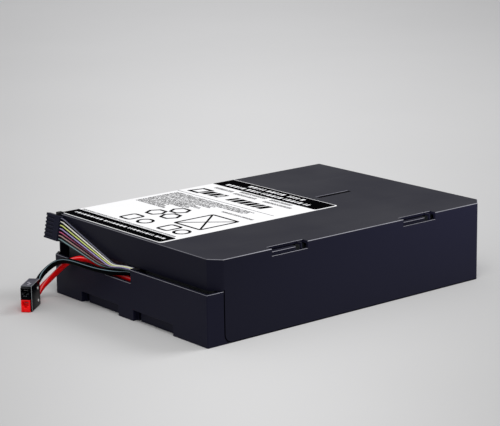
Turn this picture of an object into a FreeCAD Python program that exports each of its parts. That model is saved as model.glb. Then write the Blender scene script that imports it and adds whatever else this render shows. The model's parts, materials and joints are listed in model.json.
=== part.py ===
"""Battery cartridge for a rack power supply: case, four sealed blocks, inner wiring and its two cords."""
import FreeCAD, Part
import math
import os

os.makedirs("parts", exist_ok=True)

V = FreeCAD.Vector

# case
WIDTH = 228.0
LENGTH = 320.0
HEIGHT = 71.0
WALL = 2.5
CLEAR = 0.4
HALF = WIDTH / 2
BACK = LENGTH / 2
FRONT = -LENGTH / 2

# cover
SETBACK = 8.5
BAND_FOOT = 44.5
CORNER_X = 10.5
CORNER_Y = 9.0
REAR_CORNER = 10.5
TOP_ROUND = 0.8
CORNER_ROUND = 1.5
EDGE_ROUND = 0.4
FOOT_RADIUS = 8.0
COVER_FRONT = FRONT + SETBACK
SIDE_FRONT = COVER_FRONT + CORNER_Y
CEILING = HEIGHT - WALL

# tray
RIM = 44.3
TRAY_CORNER = 7.0
NOTCH_SHALLOW = 35.7
NOTCH_DEEP = 32.5
NOTCH_STEP = -29.0
NOTCH_END = 8.4
POCKET_LENGTH = 56.0
POCKET_START = 11.0
POCKET_HEIGHT = 9.5
POCKET_DEPTH = 4.3
POCKET_WALL = 2.0
POCKET_SLOT = 3.5

# snap windows along each side
WINDOWS = ((-92.0, -53.0), (57.0, 96.0))
WINDOW_DARK = 13.0
WINDOW_SILL = 64.8
WINDOW_INNER = 107.0
HOOK_TOP = 68.3

# blocks, two along and two across, with their terminals towards the middle
BLOCK_LENGTH = 151.0
BLOCK_HEIGHT = 94.0
BLOCK_WIDTH = 65.0
BLOCK_ROUND = 3.0
CHANNEL = 12.0
ROW_FRONT = -147.2
ROW_GAP = 0.4
ROW_STARTS = (ROW_FRONT, ROW_FRONT + BLOCK_LENGTH + ROW_GAP)
TERMINAL_INSET = 23.0
TERMINAL_Z = 53.0
TAB_WIDTH = 6.35
TAB_THICK = 0.8
TAB_REACH = 6.4

# wires
LEAD = 5.0
SENSE = 1.5
SENSE_COUNT = 7
CLAMP_FACE = 5.0
CLAMP_END = 12.0
CLAMP_FOOT = 29.5
CLAMP_TOP = 44.1

# harness connector
HARNESS_WIDTH = 21.2
HARNESS_THICK = 4.2
HARNESS_TALL = 22.6
HARNESS_PITCH = 3.1
HARNESS_LEAN = 11.5
HARNESS_CENTRE = V(-114.8, -155.9, 58.6)

# power connector
POLE_LONG = 26.5
POLE_WIDE = 8.0
POLE_TALL = 11.0
BRACKET = 1.6
POWER_REAR = V(-90.0, -194.5, 0.0)
POWER_TURN = 131.0

# label
LABEL_LEFT = -113.1
LABEL_RIGHT = 37.0
LABEL_FRONT = -148.4
LABEL_BACK = 50.0
LABEL_THICK = 0.15
LABEL_ROUND = 3.0


def box(x0, x1, y0, y1, z0, z1):
    """A block between two values on each axis."""
    return Part.makeBox(x1 - x0, y1 - y0, z1 - z0, V(x0, y0, z0))


def prism(points, z0, z1):
    """An upright prism over a plan outline."""
    loop = [V(x, y, z0) for x, y in points]
    face = Part.Face(Part.makePolygon(loop + loop[:1]))
    return face.extrude(V(0, 0, z1 - z0))


def section_y(points, y0, y1):
    """A bar along Y with an outline in X and Z."""
    loop = [V(x, y0, z) for x, z in points]
    face = Part.Face(Part.makePolygon(loop + loop[:1]))
    return face.extrude(V(0, y1 - y0, 0))


def mirrored(shape):
    """The same shape on the other side of the case."""
    return shape.mirror(V(0, 0, 0), V(1, 0, 0))


def fused(shapes):
    """One solid from several that touch or overlap."""
    whole = shapes[0].multiFuse(shapes[1:])
    return whole.removeSplitter()


def flat_at(edge, axis, value):
    """Whether an edge lies wholly in the plane where an axis has a value."""
    bounds = edge.BoundBox
    low = getattr(bounds, axis + "Min")
    high = getattr(bounds, axis + "Max")
    return abs(low - value) < 0.01 and abs(high - value) < 0.01


def export(name, solids):
    """Write one node's solids to its STEP file."""
    found = []
    for shape in solids:
        found.extend(shape.Solids)
    whole = found[0]
    if len(found) > 1:
        whole = Part.makeCompound(found)
    whole.exportStep(os.path.join("parts", name + ".step"))
    volume = sum(solid.Volume for solid in found)
    valid = all(solid.isValid() for solid in found)
    print("%-22s solids %2d  volume %10.1f  valid %s" % (name, len(found), volume, valid))


# ---------------------------------------------------------------- cover


def cover_outline(inset):
    """Plan outline of the cover, moved inwards by a wall or a clearance."""
    slope = inset * math.tan(math.radians(20.3))
    rear = inset * math.tan(math.radians(22.5))
    return [
        (-HALF + inset, COVER_FRONT + inset),
        (HALF - CORNER_X - slope, COVER_FRONT + inset),
        (HALF - inset, SIDE_FRONT + slope),
        (HALF - inset, BACK - REAR_CORNER - rear),
        (HALF - REAR_CORNER - rear, BACK - inset),
        (-HALF + inset, BACK - inset),
    ]


def rounded_block():
    """The cover's outside as a solid, with rounded corners and a lightly rounded top edge."""
    block = prism(cover_outline(0.0), 0.0, HEIGHT)
    upright = [e for e in block.Edges if e.BoundBox.ZLength > HEIGHT - 1]
    block = block.makeFillet(CORNER_ROUND, upright)
    rim = [e for e in block.Edges if flat_at(e, "Z", HEIGHT)]
    return block.makeFillet(TOP_ROUND, rim)


def foot_corner(radius):
    """What a rounded lower front corner takes off the side wall."""
    block = box(-HALF - 1, HALF + 1, SIDE_FRONT - 5, SIDE_FRONT + radius, -1, radius)
    axis = V(-HALF - 2, SIDE_FRONT + radius, radius)
    return block.cut(Part.makeCylinder(radius, WIDTH + 4, axis, V(1, 0, 0)))


def window_cuts():
    """Openings for the snap hooks: through the top edge on the right, below it on the left."""
    cuts = []
    for start, end in WINDOWS:
        opening = box(WINDOW_INNER, HALF + 1, start, end, WINDOW_SILL, HEIGHT + 1)
        middle = end - WINDOW_DARK / 2
        rib = box(WINDOW_INNER, HALF - 0.6, middle - 0.5, middle + 0.5, WINDOW_SILL - 1, HEIGHT - 0.6)
        cuts.append(opening.cut(rib))
        cuts.append(box(-HALF - 1, -HALF + WALL + 1, start, end, WINDOW_SILL, CEILING))
    return cuts


def cover_ribs():
    """Ribs under the top that keep the blocks apart along the middle channel."""
    ribs = []
    for start in ROW_STARTS:
        for side in (-1, 1):
            inner = side * (CHANNEL - 1.9)
            outer = side * (CHANNEL - 0.4)
            x0, x1 = sorted((inner, outer))
            ribs.append(box(x0, x1, start + 6, start + BLOCK_LENGTH - 6, 60.5, CEILING + 0.5))
    for step in range(5):
        y = -120.0 + 60.0 * step
        ribs.append(box(1.9 - CHANNEL, CHANNEL - 1.9, y - 0.7, y + 0.7, 63.0, CEILING + 0.5))
    return ribs


def top_cover():
    """Cover moulding: top, side and rear walls, and the upper half of the front."""
    shell = rounded_block().cut(prism(cover_outline(WALL), -1.0, CEILING))
    below_band = box(-HALF + WALL, HALF + 1, COVER_FRONT - 1, SIDE_FRONT, -1, BAND_FOOT)
    slot = box(-2.5, -1.5, 58.7, 97.7, CEILING - 8, HEIGHT + 1)
    right_only = foot_corner(FOOT_RADIUS).common(box(0, HALF + 1, -BACK, BACK, -2, HEIGHT))
    shell = shell.cut(below_band)
    shell = shell.cut(right_only)
    shell = fused([shell] + cover_ribs())
    for cut in window_cuts() + [slot]:
        shell = shell.cut(cut)
    shell = shell.removeSplitter()
    long_sides = [e for e in shell.Edges if flat_at(e, "X", WINDOW_INNER) and flat_at(e, "Z", HEIGHT)]
    sills = [e for e in shell.Edges if flat_at(e, "X", HALF) and flat_at(e, "Z", WINDOW_SILL)]
    return shell.makeFillet(EDGE_ROUND, long_sides + sills)


# ---------------------------------------------------------------- tray


def tray_floor():
    """Floor plate between the cover's walls."""
    points = cover_outline(WALL + CLEAR)
    x_left = -HALF + WALL + CLEAR
    x_right = HALF - WALL - CLEAR
    front = FRONT + WALL
    outline = [(x_left, front), (x_right, front)] + points[3:]
    return prism(outline, 0.0, WALL)


def front_wall():
    """Front wall with its slanted left corner and its square right return."""
    end = COVER_FRONT - CLEAR
    slant = WALL * math.tan(math.radians(22.5))
    outline = [
        (-HALF, end),
        (-HALF, FRONT + TRAY_CORNER),
        (-HALF + TRAY_CORNER, FRONT),
        (HALF, FRONT),
        (HALF, SIDE_FRONT - CLEAR),
        (HALF - WALL, SIDE_FRONT - CLEAR),
        (HALF - WALL, FRONT + WALL),
        (-HALF + TRAY_CORNER + slant, FRONT + WALL),
        (-HALF + WALL, FRONT + TRAY_CORNER + slant),
        (-HALF + WALL, end),
    ]
    wall = prism(outline, 0.0, RIM)
    upright = [e for e in wall.Edges if e.BoundBox.ZLength > RIM - 1]
    corners = [e for e in upright if flat_at(e, "Y", FRONT) or flat_at(e, "Y", FRONT + TRAY_CORNER)]
    return wall.makeFillet(2 * EDGE_ROUND, corners)


def return_foot():
    """Foot of the right return, which follows the cover's rounded corner."""
    foot = box(HALF - WALL, HALF, SIDE_FRONT - 3, SIDE_FRONT + FOOT_RADIUS, 0, FOOT_RADIUS)
    radius = FOOT_RADIUS + CLEAR
    axis = V(HALF - WALL - 1, SIDE_FRONT + FOOT_RADIUS, FOOT_RADIUS)
    foot = foot.cut(Part.makeCylinder(radius, WALL + 2, axis, V(1, 0, 0)))
    return foot.common(box(0, HALF, SIDE_FRONT - 3, SIDE_FRONT + 6, 0, FOOT_RADIUS))


def pocket_liner(start):
    """Block behind the front wall that a pull pocket is sunk into."""
    depth = POCKET_DEPTH + POCKET_WALL
    return box(start - 2, start + POCKET_LENGTH + 2, FRONT + 1, FRONT + depth, 0, POCKET_HEIGHT + 2)


def pocket_cuts(start):
    """The pocket itself and the narrow slot near its left end."""
    pocket = box(start, start + POCKET_LENGTH, FRONT - 1, FRONT + POCKET_DEPTH, -1, POCKET_HEIGHT)
    depth = FRONT + POCKET_DEPTH + POCKET_WALL + 1
    slot = box(start + 2, start + 2 + POCKET_SLOT, FRONT - 1, depth, -1, POCKET_HEIGHT - 1)
    return [pocket, slot]


def snap_arm(start, end):
    """Spring arm with a sloped hook that fills the front of a window."""
    outline = [
        (HALF - 5.2, WALL - 1),
        (HALF - 2.9, WALL - 1),
        (HALF - 2.9, WINDOW_SILL + 0.2),
        (HALF - 0.3, WINDOW_SILL + 0.2),
        (HALF - 0.3, WINDOW_SILL + 0.8),
        (HALF - 3.6, HOOK_TOP),
        (HALF - 5.2, HOOK_TOP),
    ]
    return section_y(outline, start + CLEAR, end - WINDOW_DARK)


def tray_ribs():
    """Locating ribs round the blocks and gussets behind the front wall."""
    ribs = []
    for start in ROW_STARTS:
        for side in (-1, 1):
            x0, x1 = sorted((side * (CHANNEL - 1.9), side * (CHANNEL - 0.4)))
            ribs.append(box(x0, x1, start + 4, start + BLOCK_LENGTH - 4, WALL - 1, 11.0))
    for x in (-98.0, -82.0, 82.0, 98.0):
        ribs.append(box(x - 0.8, x + 0.8, FRONT + 1, ROW_FRONT - 0.6, WALL - 1, 28.0))
    for x in (-39.0, 39.0):
        ribs.append(box(x - 0.8, x + 0.8, FRONT + 1, ROW_FRONT - 0.6, WALL - 1, 28.0))
    return ribs


def clamp_post():
    """Pair of webs under the cable clamp."""
    webs = []
    for x in (CLAMP_FACE + 2, CLAMP_END - 3.5):
        webs.append(box(x, x + 1.5, FRONT + 1, ROW_FRONT - 0.6, WALL - 1, CLAMP_FOOT))
    return webs


def bottom_tray():
    """Tray moulding: floor, lower front wall, pull pockets, snap arms and ribs."""
    starts = (-POCKET_START - POCKET_LENGTH, POCKET_START)
    pieces = [tray_floor(), front_wall(), return_foot()]
    pieces += [pocket_liner(start) for start in starts]
    for start, end in WINDOWS:
        arm = snap_arm(start, end)
        pieces += [arm, mirrored(arm)]
    pieces += tray_ribs() + clamp_post()
    tray = fused(pieces)
    tray = tray.cut(box(-HALF - 1, NOTCH_STEP, FRONT - 1, ROW_FRONT, NOTCH_SHALLOW, RIM + 1))
    tray = tray.cut(box(NOTCH_STEP - 1, NOTCH_END, FRONT - 1, ROW_FRONT, NOTCH_DEEP, RIM + 1))
    for start in starts:
        for cut in pocket_cuts(start):
            tray = tray.cut(cut)
    tray = tray.removeSplitter()
    face = [e for e in tray.Edges if flat_at(e, "Y", FRONT) and e.BoundBox.ZMax > 1]
    return tray.makeFillet(EDGE_ROUND, face)


# ---------------------------------------------------------------- blocks


def sides_and_rows():
    """Side and first Y of each block: left front, left rear, right rear, right front."""
    return [(-1, ROW_STARTS[0]), (-1, ROW_STARTS[1]), (1, ROW_STARTS[1]), (1, ROW_STARTS[0])]


def battery(side, start):
    """Sealed block on its side: case, a lid stepped in by a hair, and its vent strip."""
    end = start + BLOCK_LENGTH
    top = WALL + BLOCK_WIDTH
    outer = CHANNEL + BLOCK_HEIGHT
    case = box(CHANNEL + 8, outer, start, end, WALL, top)
    lid = box(CHANNEL + 0.8, CHANNEL + 9, start + 0.4, end - 0.4, WALL + 0.4, top - 0.4)
    strip = box(CHANNEL, CHANNEL + 2, start + 40, end - 40, WALL + 14, WALL + 36)
    block = fused([case, lid, strip])
    outside = [e for e in block.Edges if e.BoundBox.XMin > outer - 1]
    upright = [e for e in outside if e.BoundBox.ZLength > BLOCK_WIDTH - 1]
    block = block.makeFillet(BLOCK_ROUND, upright)
    return block if side > 0 else mirrored(block)


def terminal_ys(start):
    """Where a block's two terminals stand along its length."""
    return (start + TERMINAL_INSET, start + BLOCK_LENGTH - TERMINAL_INSET)


def terminals(side, start):
    """Two tabs with their feet on the block's lid."""
    tabs = []
    face = CHANNEL + 0.8
    for y in terminal_ys(start):
        foot = box(face - 1.2, face, y - 4.5, y + 4.5, TERMINAL_Z - 3, TERMINAL_Z + 3)
        blade = box(face - 1.2 - TAB_REACH, face - 1.1, y - TAB_WIDTH / 2, y + TAB_WIDTH / 2,
                    TERMINAL_Z - TAB_THICK / 2, TERMINAL_Z + TAB_THICK / 2)
        tabs.append(fused([foot, blade]))
    return tabs if side > 0 else [mirrored(tab) for tab in tabs]


def receptacles(side, start):
    """Insulated flag receptacles pushed over the two tabs."""
    covers = []
    high = CHANNEL - 0.8
    low = CHANNEL - 7.8
    for y in terminal_ys(start):
        body = box(low, high, y - 4.6, y + 4.6, TERMINAL_Z - 2.6, TERMINAL_Z + 2.6)
        neck = box(low, low + 5.2, y - 3.0, y + 3.0, TERMINAL_Z - 6.5, TERMINAL_Z - 2.5)
        mouth = box(low + 0.4, high + 1, y - TAB_WIDTH / 2 - 0.1, y + TAB_WIDTH / 2 + 0.1,
                    TERMINAL_Z - 0.5, TERMINAL_Z + 0.5)
        covers.append(fused([body, neck]).cut(mouth))
    return covers if side > 0 else [mirrored(cover) for cover in covers]


def foam_strip(side, start):
    """Strip between a block and the cover."""
    x0, x1 = sorted((side * 40.0, side * 82.0))
    return box(x0, x1, start + 12, start + BLOCK_LENGTH - 12, WALL + BLOCK_WIDTH, CEILING)


# ---------------------------------------------------------------- wires


def wire_path(points):
    """Straight runs joined by arcs as large as the runs beside them allow."""
    edges = []
    radii = []
    start = points[0]
    for before, corner, after in zip(points, points[1:], points[2:]):
        first = corner - before
        second = after - corner
        turn = first.getAngle(second)
        reach = 0.45 * min(first.Length, second.Length)
        radii.append(reach / math.tan(turn / 2))
        way_in = V(first).normalize()
        way_out = V(second).normalize()
        enter = corner - way_in * reach
        leave = corner + way_out * reach
        bisector = V(way_out - way_in).normalize()
        depth = radii[-1] / math.cos(turn / 2) - radii[-1]
        edges.append(Part.LineSegment(start, enter).toShape())
        edges.append(Part.Arc(enter, corner + bisector * depth, leave).toShape())
        start = leave
    edges.append(Part.LineSegment(start, points[-1]).toShape())
    return Part.Wire(edges), radii


def wire_tube(name, points, diameter):
    """A round wire along its route."""
    path, radii = wire_path(points)
    ring = Part.makeCircle(diameter / 2, points[0], points[1] - points[0])
    tube = path.makePipeShell([Part.Wire(ring)], True, False)
    length = path.Length
    ratio = tube.Volume / (math.pi * diameter ** 2 / 4 * length)
    smallest = min(radii) if radii else 0.0
    print("%-22s length %6.1f  volume ratio %.4f  least radius %5.1f" % (name, length, ratio, smallest))
    return tube


def power_point(along, aside, z):
    """A point of the power connector: along from its rear face to its mouth, aside to its right."""
    turn = math.radians(POWER_TURN)
    back = V(math.cos(turn), math.sin(turn), 0)
    right = V(-back.y, back.x, 0) * -1
    return POWER_REAR - back * along + right * aside + V(0, 0, z)


def lead_black_route():
    """Upper lead, out of the clamp, over the rim, along the front and round to the upper pole."""
    return [
        V(CLAMP_FACE, -150.6, 37.4),
        V(-5.0, -150.6, 37.4),
        V(-16.0, -157.8, 36.6),
        V(-29.0, -164.0, 37.0),
        V(-45.0, -166.8, 37.6),
        V(-62.0, -168.2, 38.2),
        V(-76.0, -168.8, 37.4),
        V(-87.4, -170.0, 34.4),
        V(-95.0, -173.8, 29.2),
        V(-98.4, -181.0, 22.2),
        power_point(-8.6, 0.0, 16.5),
        power_point(0.0, 0.0, 16.5),
    ]


def lead_red_route():
    """Lower lead, which starts under the other one, passes behind it and ends below it."""
    return [
        V(CLAMP_FACE, -150.6, 31.8),
        V(-8.0, -150.6, 31.8),
        V(-20.0, -152.0, 32.4),
        V(-33.0, -153.9, 34.6),
        V(-46.0, -154.8, 37.6),
        V(-57.5, -156.0, 39.2),
        V(-67.4, -159.2, 39.5),
        V(-76.0, -163.2, 36.6),
        V(-84.4, -164.8, 31.6),
        V(-92.2, -167.2, 24.6),
        V(-98.4, -172.2, 16.8),
        V(-100.2, -180.4, 10.0),
        power_point(-9.2, 0.0, 5.5),
        power_point(0.0, 0.0, 5.5),
    ]


def harness_point(across, height, depth=0.0):
    """A point of the harness connector, which leans back against the cover, from its centre."""
    lean = math.radians(HARNESS_LEAN)
    y = height * math.sin(lean) + depth * math.cos(lean)
    z = height * math.cos(lean) - depth * math.sin(lean)
    return HARNESS_CENTRE + V(across, y, z)


def sense_route(index):
    """Thin wire: level out of the clamp, then one tight straight stretch up to the connector."""
    row = 0 if index < 4 else 1
    column = index - 4 * row
    start = V(CLAMP_FACE, -151.7 - 1.6 * column, 42.9 - 1.7 * row)
    level = start - V(12.0, 0, 0)
    bend = V(-19.0 - 14.0 * row, -156.5 - 1.75 * column, 42.2 - 0.25 * column)
    if row:
        bend.z = 39.8 - 0.9 * column
    end = harness_point(HARNESS_WIDTH / 2, HARNESS_PITCH * (3 - index))
    last = end + V(3.2, 0, 0)
    return [start, level, bend, last, end]


def wire_clamp():
    """Elbow clamp on the tray's webs, which grips all the wires where they turn outwards."""
    bay = box(CLAMP_FACE, CLAMP_END, FRONT + WALL + 0.2, ROW_FRONT - 0.6, CLAMP_FOOT, CLAMP_TOP)
    stub = box(-4.0, CHANNEL - 0.2, ROW_FRONT - 0.6, ROW_FRONT + 7, CLAMP_FOOT, CLAMP_TOP)
    body = fused([bay, stub])
    groove = box(CLAMP_FACE - 1, CLAMP_END + 1, FRONT + WALL, -156.6, 34.2, 34.8)
    return body.cut(groove)


def inner_leads():
    """Leads from the end terminals down the channel to the clamp."""
    face = ROW_FRONT + 7
    y = terminal_ys(ROW_STARTS[0])[0]
    x = CHANNEL - 5.2
    neck = TERMINAL_Z - 6.5
    negative = [V(-x, y, neck), V(-x, y, neck - 7), V(-3.0, y - 3, 33), V(-1.4, face + 6, 33), V(-1.4, face, 33)]
    positive = [V(x, y, neck), V(x, y, neck - 7), V(7.0, y - 3, 33), V(6.8, face + 6, 33), V(6.8, face, 33)]
    return negative, positive


def jumper(side):
    """Short lead between the two blocks of one side."""
    x = side * (CHANNEL - 5.2)
    y0 = terminal_ys(ROW_STARTS[0])[1]
    y1 = terminal_ys(ROW_STARTS[1])[0]
    neck = TERMINAL_Z - 6.5
    return [V(x, y0, neck), V(x, y0, neck - 7), V(x, y0 + 10, neck - 16), V(x, y1 - 10, neck - 16),
            V(x, y1, neck - 7), V(x, y1, neck)]


def fuse_lead(side):
    """Lead from a rear terminal to the fuse holder."""
    x = side * (CHANNEL - 5.2)
    y = terminal_ys(ROW_STARTS[1])[1]
    neck = TERMINAL_Z - 6.5
    return [V(x, y, neck), V(x, y, neck - 8), V(side * 5.4, y - 6, 29.0), V(side * 4.4, y - 16, 26),
            V(side * 4.4, y - 24, 26)]


def fuse_parts():
    """Holder with its open top and the blade fuse that sits in it."""
    rear = terminal_ys(ROW_STARTS[1])[1] - 24
    holder = box(-8.5, 8.5, rear - 22, rear, WALL, 32)
    seat = box(-3.2, 3.2, rear - 19, rear - 3, 20, 33)
    fuse = box(-3.0, 3.0, rear - 18.7, rear - 3.3, 21.5, 38)
    legs = [box(-0.4, 0.4, rear - 18 + 10 * n, rear - 14 + 10 * n, 20, 22) for n in range(2)]
    return holder.cut(seat), fused([fuse] + legs)


def loom_route():
    """Inner sense bundle, from the clamp down to the channel floor and back to the sensor."""
    face = ROW_FRONT + 7
    return [V(2.6, face, 41.0), V(2.6, face + 9, 41.0), V(1.5, face + 26, 24.0), V(0.6, face + 44, 10.5),
            V(0.0, face + 74, 6.0), V(0.0, face + 110, 5.6), V(2.0, face + 142, 9.0), V(5.0, face + 158, 14.0),
            V(5.0, face + 172, 14.0)]


def temperature_sensor():
    """Small sensor body held against the face of a rear block."""
    end = loom_route()[-1]
    body = box(end.x - 2.5, CHANNEL + 0.8, end.y, end.y + 12, end.z - 3, end.z + 3)
    return body


# ---------------------------------------------------------------- connectors


def leaned(shape):
    """A shape built upright round the origin, moved to the harness connector's place."""
    copy = shape.copy()
    copy.rotate(V(0, 0, 0), V(1, 0, 0), -HARNESS_LEAN)
    copy.translate(HARNESS_CENTRE)
    return copy


def harness_housing():
    """Flat housing with grip ribs on both faces and seven open cavities."""
    w = HARNESS_WIDTH / 2
    t = HARNESS_THICK / 2
    h = HARNESS_TALL / 2
    body = box(-w, w, -t, t, -h, h)
    for side in (-1, 1):
        for n in range(6):
            z = -h + 1.6 + 3.4 * n
            y0, y1 = sorted((side * (t - 0.5), side * (t + 1)))
            body = body.cut(box(-w - 1, w - 8.0, y0, y1, z, z + 1.7))
    for n in range(SENSE_COUNT):
        z = HARNESS_PITCH * (3 - n)
        body = body.cut(box(-w - 1, -w + 9, -1.2, 1.2, z - 1.0, z + 1.0))
    return leaned(body)


def harness_contacts():
    """One flat contact in each cavity."""
    w = HARNESS_WIDTH / 2
    found = []
    for n in range(SENSE_COUNT):
        z = HARNESS_PITCH * (3 - n)
        found.append(leaned(box(-w + 1.5, -w + 9, -0.8, 0.8, z - 0.4, z + 0.4)))
    return found


def harness_retainer():
    """Strap that hooks the connector over the cover's front top edge."""
    hook = box(-112.0, -108.0, COVER_FRONT - 3.0, COVER_FRONT + 2.6, HEIGHT + 0.02, HEIGHT + 1.6)
    lip = box(-112.0, -108.0, COVER_FRONT - 3.0, COVER_FRONT - 0.1, HEIGHT - 1.6, HEIGHT + 1.6)
    strap = fused([hook, lip])
    long_edges = [e for e in strap.Edges if e.BoundBox.XLength > 3.9 and e.BoundBox.ZMin > HEIGHT + 1.5]
    return strap.makeFillet(0.6, long_edges).cut(harness_envelope())


def harness_envelope():
    """The connector's plain outside, used to seat the strap on it."""
    w = HARNESS_WIDTH / 2
    t = HARNESS_THICK / 2
    h = HARNESS_TALL / 2
    return leaned(box(-w, w, -t - 9, t, -h, h))


def placed(shape):
    """A shape built along its own axis, moved to the power connector's place."""
    copy = shape.copy()
    copy.rotate(V(0, 0, 0), V(0, 0, 1), POWER_TURN - 90)
    copy.translate(POWER_REAR)
    return copy


def pole_housing(level):
    """One pole: a block with softened corners, a mouth under its top wall and a dovetail groove."""
    z0 = POLE_TALL * level
    w = POLE_WIDE / 2
    body = box(-w, w, -POLE_LONG, 0, z0, z0 + POLE_TALL)
    nose = [e for e in body.Edges if e.BoundBox.YMax < 1 - POLE_LONG]
    body = body.makeChamfer(0.5, nose)
    mouth = box(-2.8, 2.8, -POLE_LONG - 1, -POLE_LONG + 15, z0 + 5.4, z0 + 9.6)
    key = box(-1.2, 1.2, -POLE_LONG - 1, -POLE_LONG + 6, z0 + 3.4, z0 + 6.0)
    groove = box(-w - 1, -w + 0.6, -POLE_LONG + 4, -POLE_LONG + 18, z0 + 4.5, z0 + 6.5)
    for cut in (mouth, key, groove):
        body = body.cut(cut)
    return placed(body)


def pole_contact(level):
    """Flat silvered contact inside a pole."""
    z = POLE_TALL * level + 7.7
    return placed(box(-2.4, 2.4, -POLE_LONG + 0.8, -POLE_LONG + 15, z - 0.5, z + 0.5))


def connector_bracket():
    """Angle that joins the two poles: a full-height side cheek and a cap on top."""
    w = POLE_WIDE / 2
    top = 2 * POLE_TALL
    cheek = box(w, w + BRACKET, -POLE_LONG + 1.5, 0, 0.4, top + 1.2)
    cap = box(-w, w + BRACKET, -POLE_LONG + 2.5, -1.0, top, top + 1.2)
    whole = fused([cheek, cap])
    for level in range(2):
        z = POLE_TALL * (level + 0.5)
        whole = whole.cut(Part.makeCylinder(1.2, BRACKET + 2, V(w - 1, -7.0, z), V(1, 0, 0)))
    return placed(whole)


def bracket_pins():
    """Two roll pins through the cheek into the poles."""
    pins = []
    w = POLE_WIDE / 2
    for level in range(2):
        z = POLE_TALL * (level + 0.5)
        pins.append(placed(Part.makeCylinder(1.2, BRACKET + 0.5, V(w, -7.0, z), V(1, 0, 0))))
    return pins


def label():
    """Printed sheet on the top, with rounded corners on its free side."""
    sheet = box(LABEL_LEFT, LABEL_RIGHT, LABEL_FRONT, LABEL_BACK, HEIGHT, HEIGHT + LABEL_THICK)
    corners = [e for e in sheet.Edges if e.BoundBox.ZLength > 0.1 and e.BoundBox.XMin > 0]
    return sheet.makeFillet(LABEL_ROUND, corners)


def main():
    """Write every node."""
    export("top_cover", [top_cover()])
    export("bottom_tray", [bottom_tray()])
    export("label", [label()])
    for number, (side, start) in enumerate(sides_and_rows(), 1):
        export("battery_%d" % number, [battery(side, start)])
        export("terminals_%d" % number, terminals(side, start))
        export("receptacles_%d" % number, receptacles(side, start))
        export("foam_strip_%d" % number, [foam_strip(side, start)])
    negative, positive = inner_leads()
    export("inner_lead_negative", [wire_tube("inner negative", negative, 4.0)])
    export("inner_lead_positive", [wire_tube("inner positive", positive, 4.0)])
    export("series_jumper_1", [wire_tube("jumper left", jumper(-1), 4.0)])
    export("series_jumper_2", [wire_tube("jumper right", jumper(1), 4.0)])
    export("fuse_lead_1", [wire_tube("fuse left", fuse_lead(-1), 4.0)])
    export("fuse_lead_2", [wire_tube("fuse right", fuse_lead(1), 4.0)])
    holder, fuse = fuse_parts()
    export("fuse_holder", [holder])
    export("blade_fuse", [fuse])
    export("sense_loom", [wire_tube("loom", loom_route(), 4.0)])
    export("temperature_sensor", [temperature_sensor()])
    export("wire_clamp", [wire_clamp()])
    export("power_lead_black", [wire_tube("power lead black", lead_black_route(), LEAD)])
    export("power_lead_red", [wire_tube("power lead red", lead_red_route(), LEAD)])
    for index in range(SENSE_COUNT):
        name = "sense_wire_%d" % (index + 1)
        export(name, [wire_tube(name, sense_route(index), SENSE)])
    export("harness_housing", [harness_housing()])
    export("harness_contacts", harness_contacts())
    export("harness_retainer", [harness_retainer()])
    export("pole_housing_black", [pole_housing(1)])
    export("pole_housing_red", [pole_housing(0)])
    export("contact_black", [pole_contact(1)])
    export("contact_red", [pole_contact(0)])
    export("connector_bracket", [connector_bracket()])
    export("bracket_pins", bracket_pins())


main()
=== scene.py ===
"""Visual model of a rack battery cartridge: clipped case, printed sheet, sense harness and power leads."""

import json
import logging
import math
import random
from collections.abc import Callable, Iterator
from contextlib import contextmanager
from dataclasses import dataclass, field, replace
from enum import Enum
from functools import cache, reduce

import bmesh
import bpy
from mathutils import Matrix, Vector


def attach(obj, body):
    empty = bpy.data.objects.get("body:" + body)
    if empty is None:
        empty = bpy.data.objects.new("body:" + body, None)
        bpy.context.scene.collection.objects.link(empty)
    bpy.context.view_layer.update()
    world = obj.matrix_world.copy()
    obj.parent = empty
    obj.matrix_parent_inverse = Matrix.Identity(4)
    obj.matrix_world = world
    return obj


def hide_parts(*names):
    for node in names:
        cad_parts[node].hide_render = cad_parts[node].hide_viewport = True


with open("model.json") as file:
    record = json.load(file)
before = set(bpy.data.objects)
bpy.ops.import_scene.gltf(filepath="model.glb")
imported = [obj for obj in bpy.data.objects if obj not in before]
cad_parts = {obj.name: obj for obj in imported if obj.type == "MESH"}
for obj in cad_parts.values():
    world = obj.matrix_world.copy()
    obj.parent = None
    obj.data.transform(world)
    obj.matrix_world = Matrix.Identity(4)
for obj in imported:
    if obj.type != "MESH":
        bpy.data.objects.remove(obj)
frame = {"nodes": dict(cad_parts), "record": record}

LOG = logging.getLogger("cartridge")
BODY = "root"
MM = 0.001
SQUARE = 0.9  # a face whose normal passes this along an axis faces that way

Pair = tuple[float, float]
Colour = tuple[float, float, float]
Point = tuple[float, float, float]
Sides = tuple[float, float, float, float]
Piece = bpy.types.Object
Socket = bpy.types.NodeSocket
Feed = float | tuple[float, ...] | Socket
Test = Callable[[Vector, Vector], bool]


def linear(*display: float) -> Colour:
    """Turn a display colour from 0 to 255 into the linear values that shaders use.

    Args:
        display: its red, green and blue.

    Returns:
        The linear colour.
    """
    shares = [value / 255.0 for value in display]
    return tuple(share / 12.92 if share <= 0.04045 else ((share + 0.055) / 1.055) ** 2.4 for share in shares)


def scaled(colour: Colour, factor: float, lift: float = 0.0) -> Colour:
    """A lighter or darker shade of a colour."""
    return tuple(min(1.0, value * factor + lift) for value in colour)


# ---- shader groups


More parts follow.
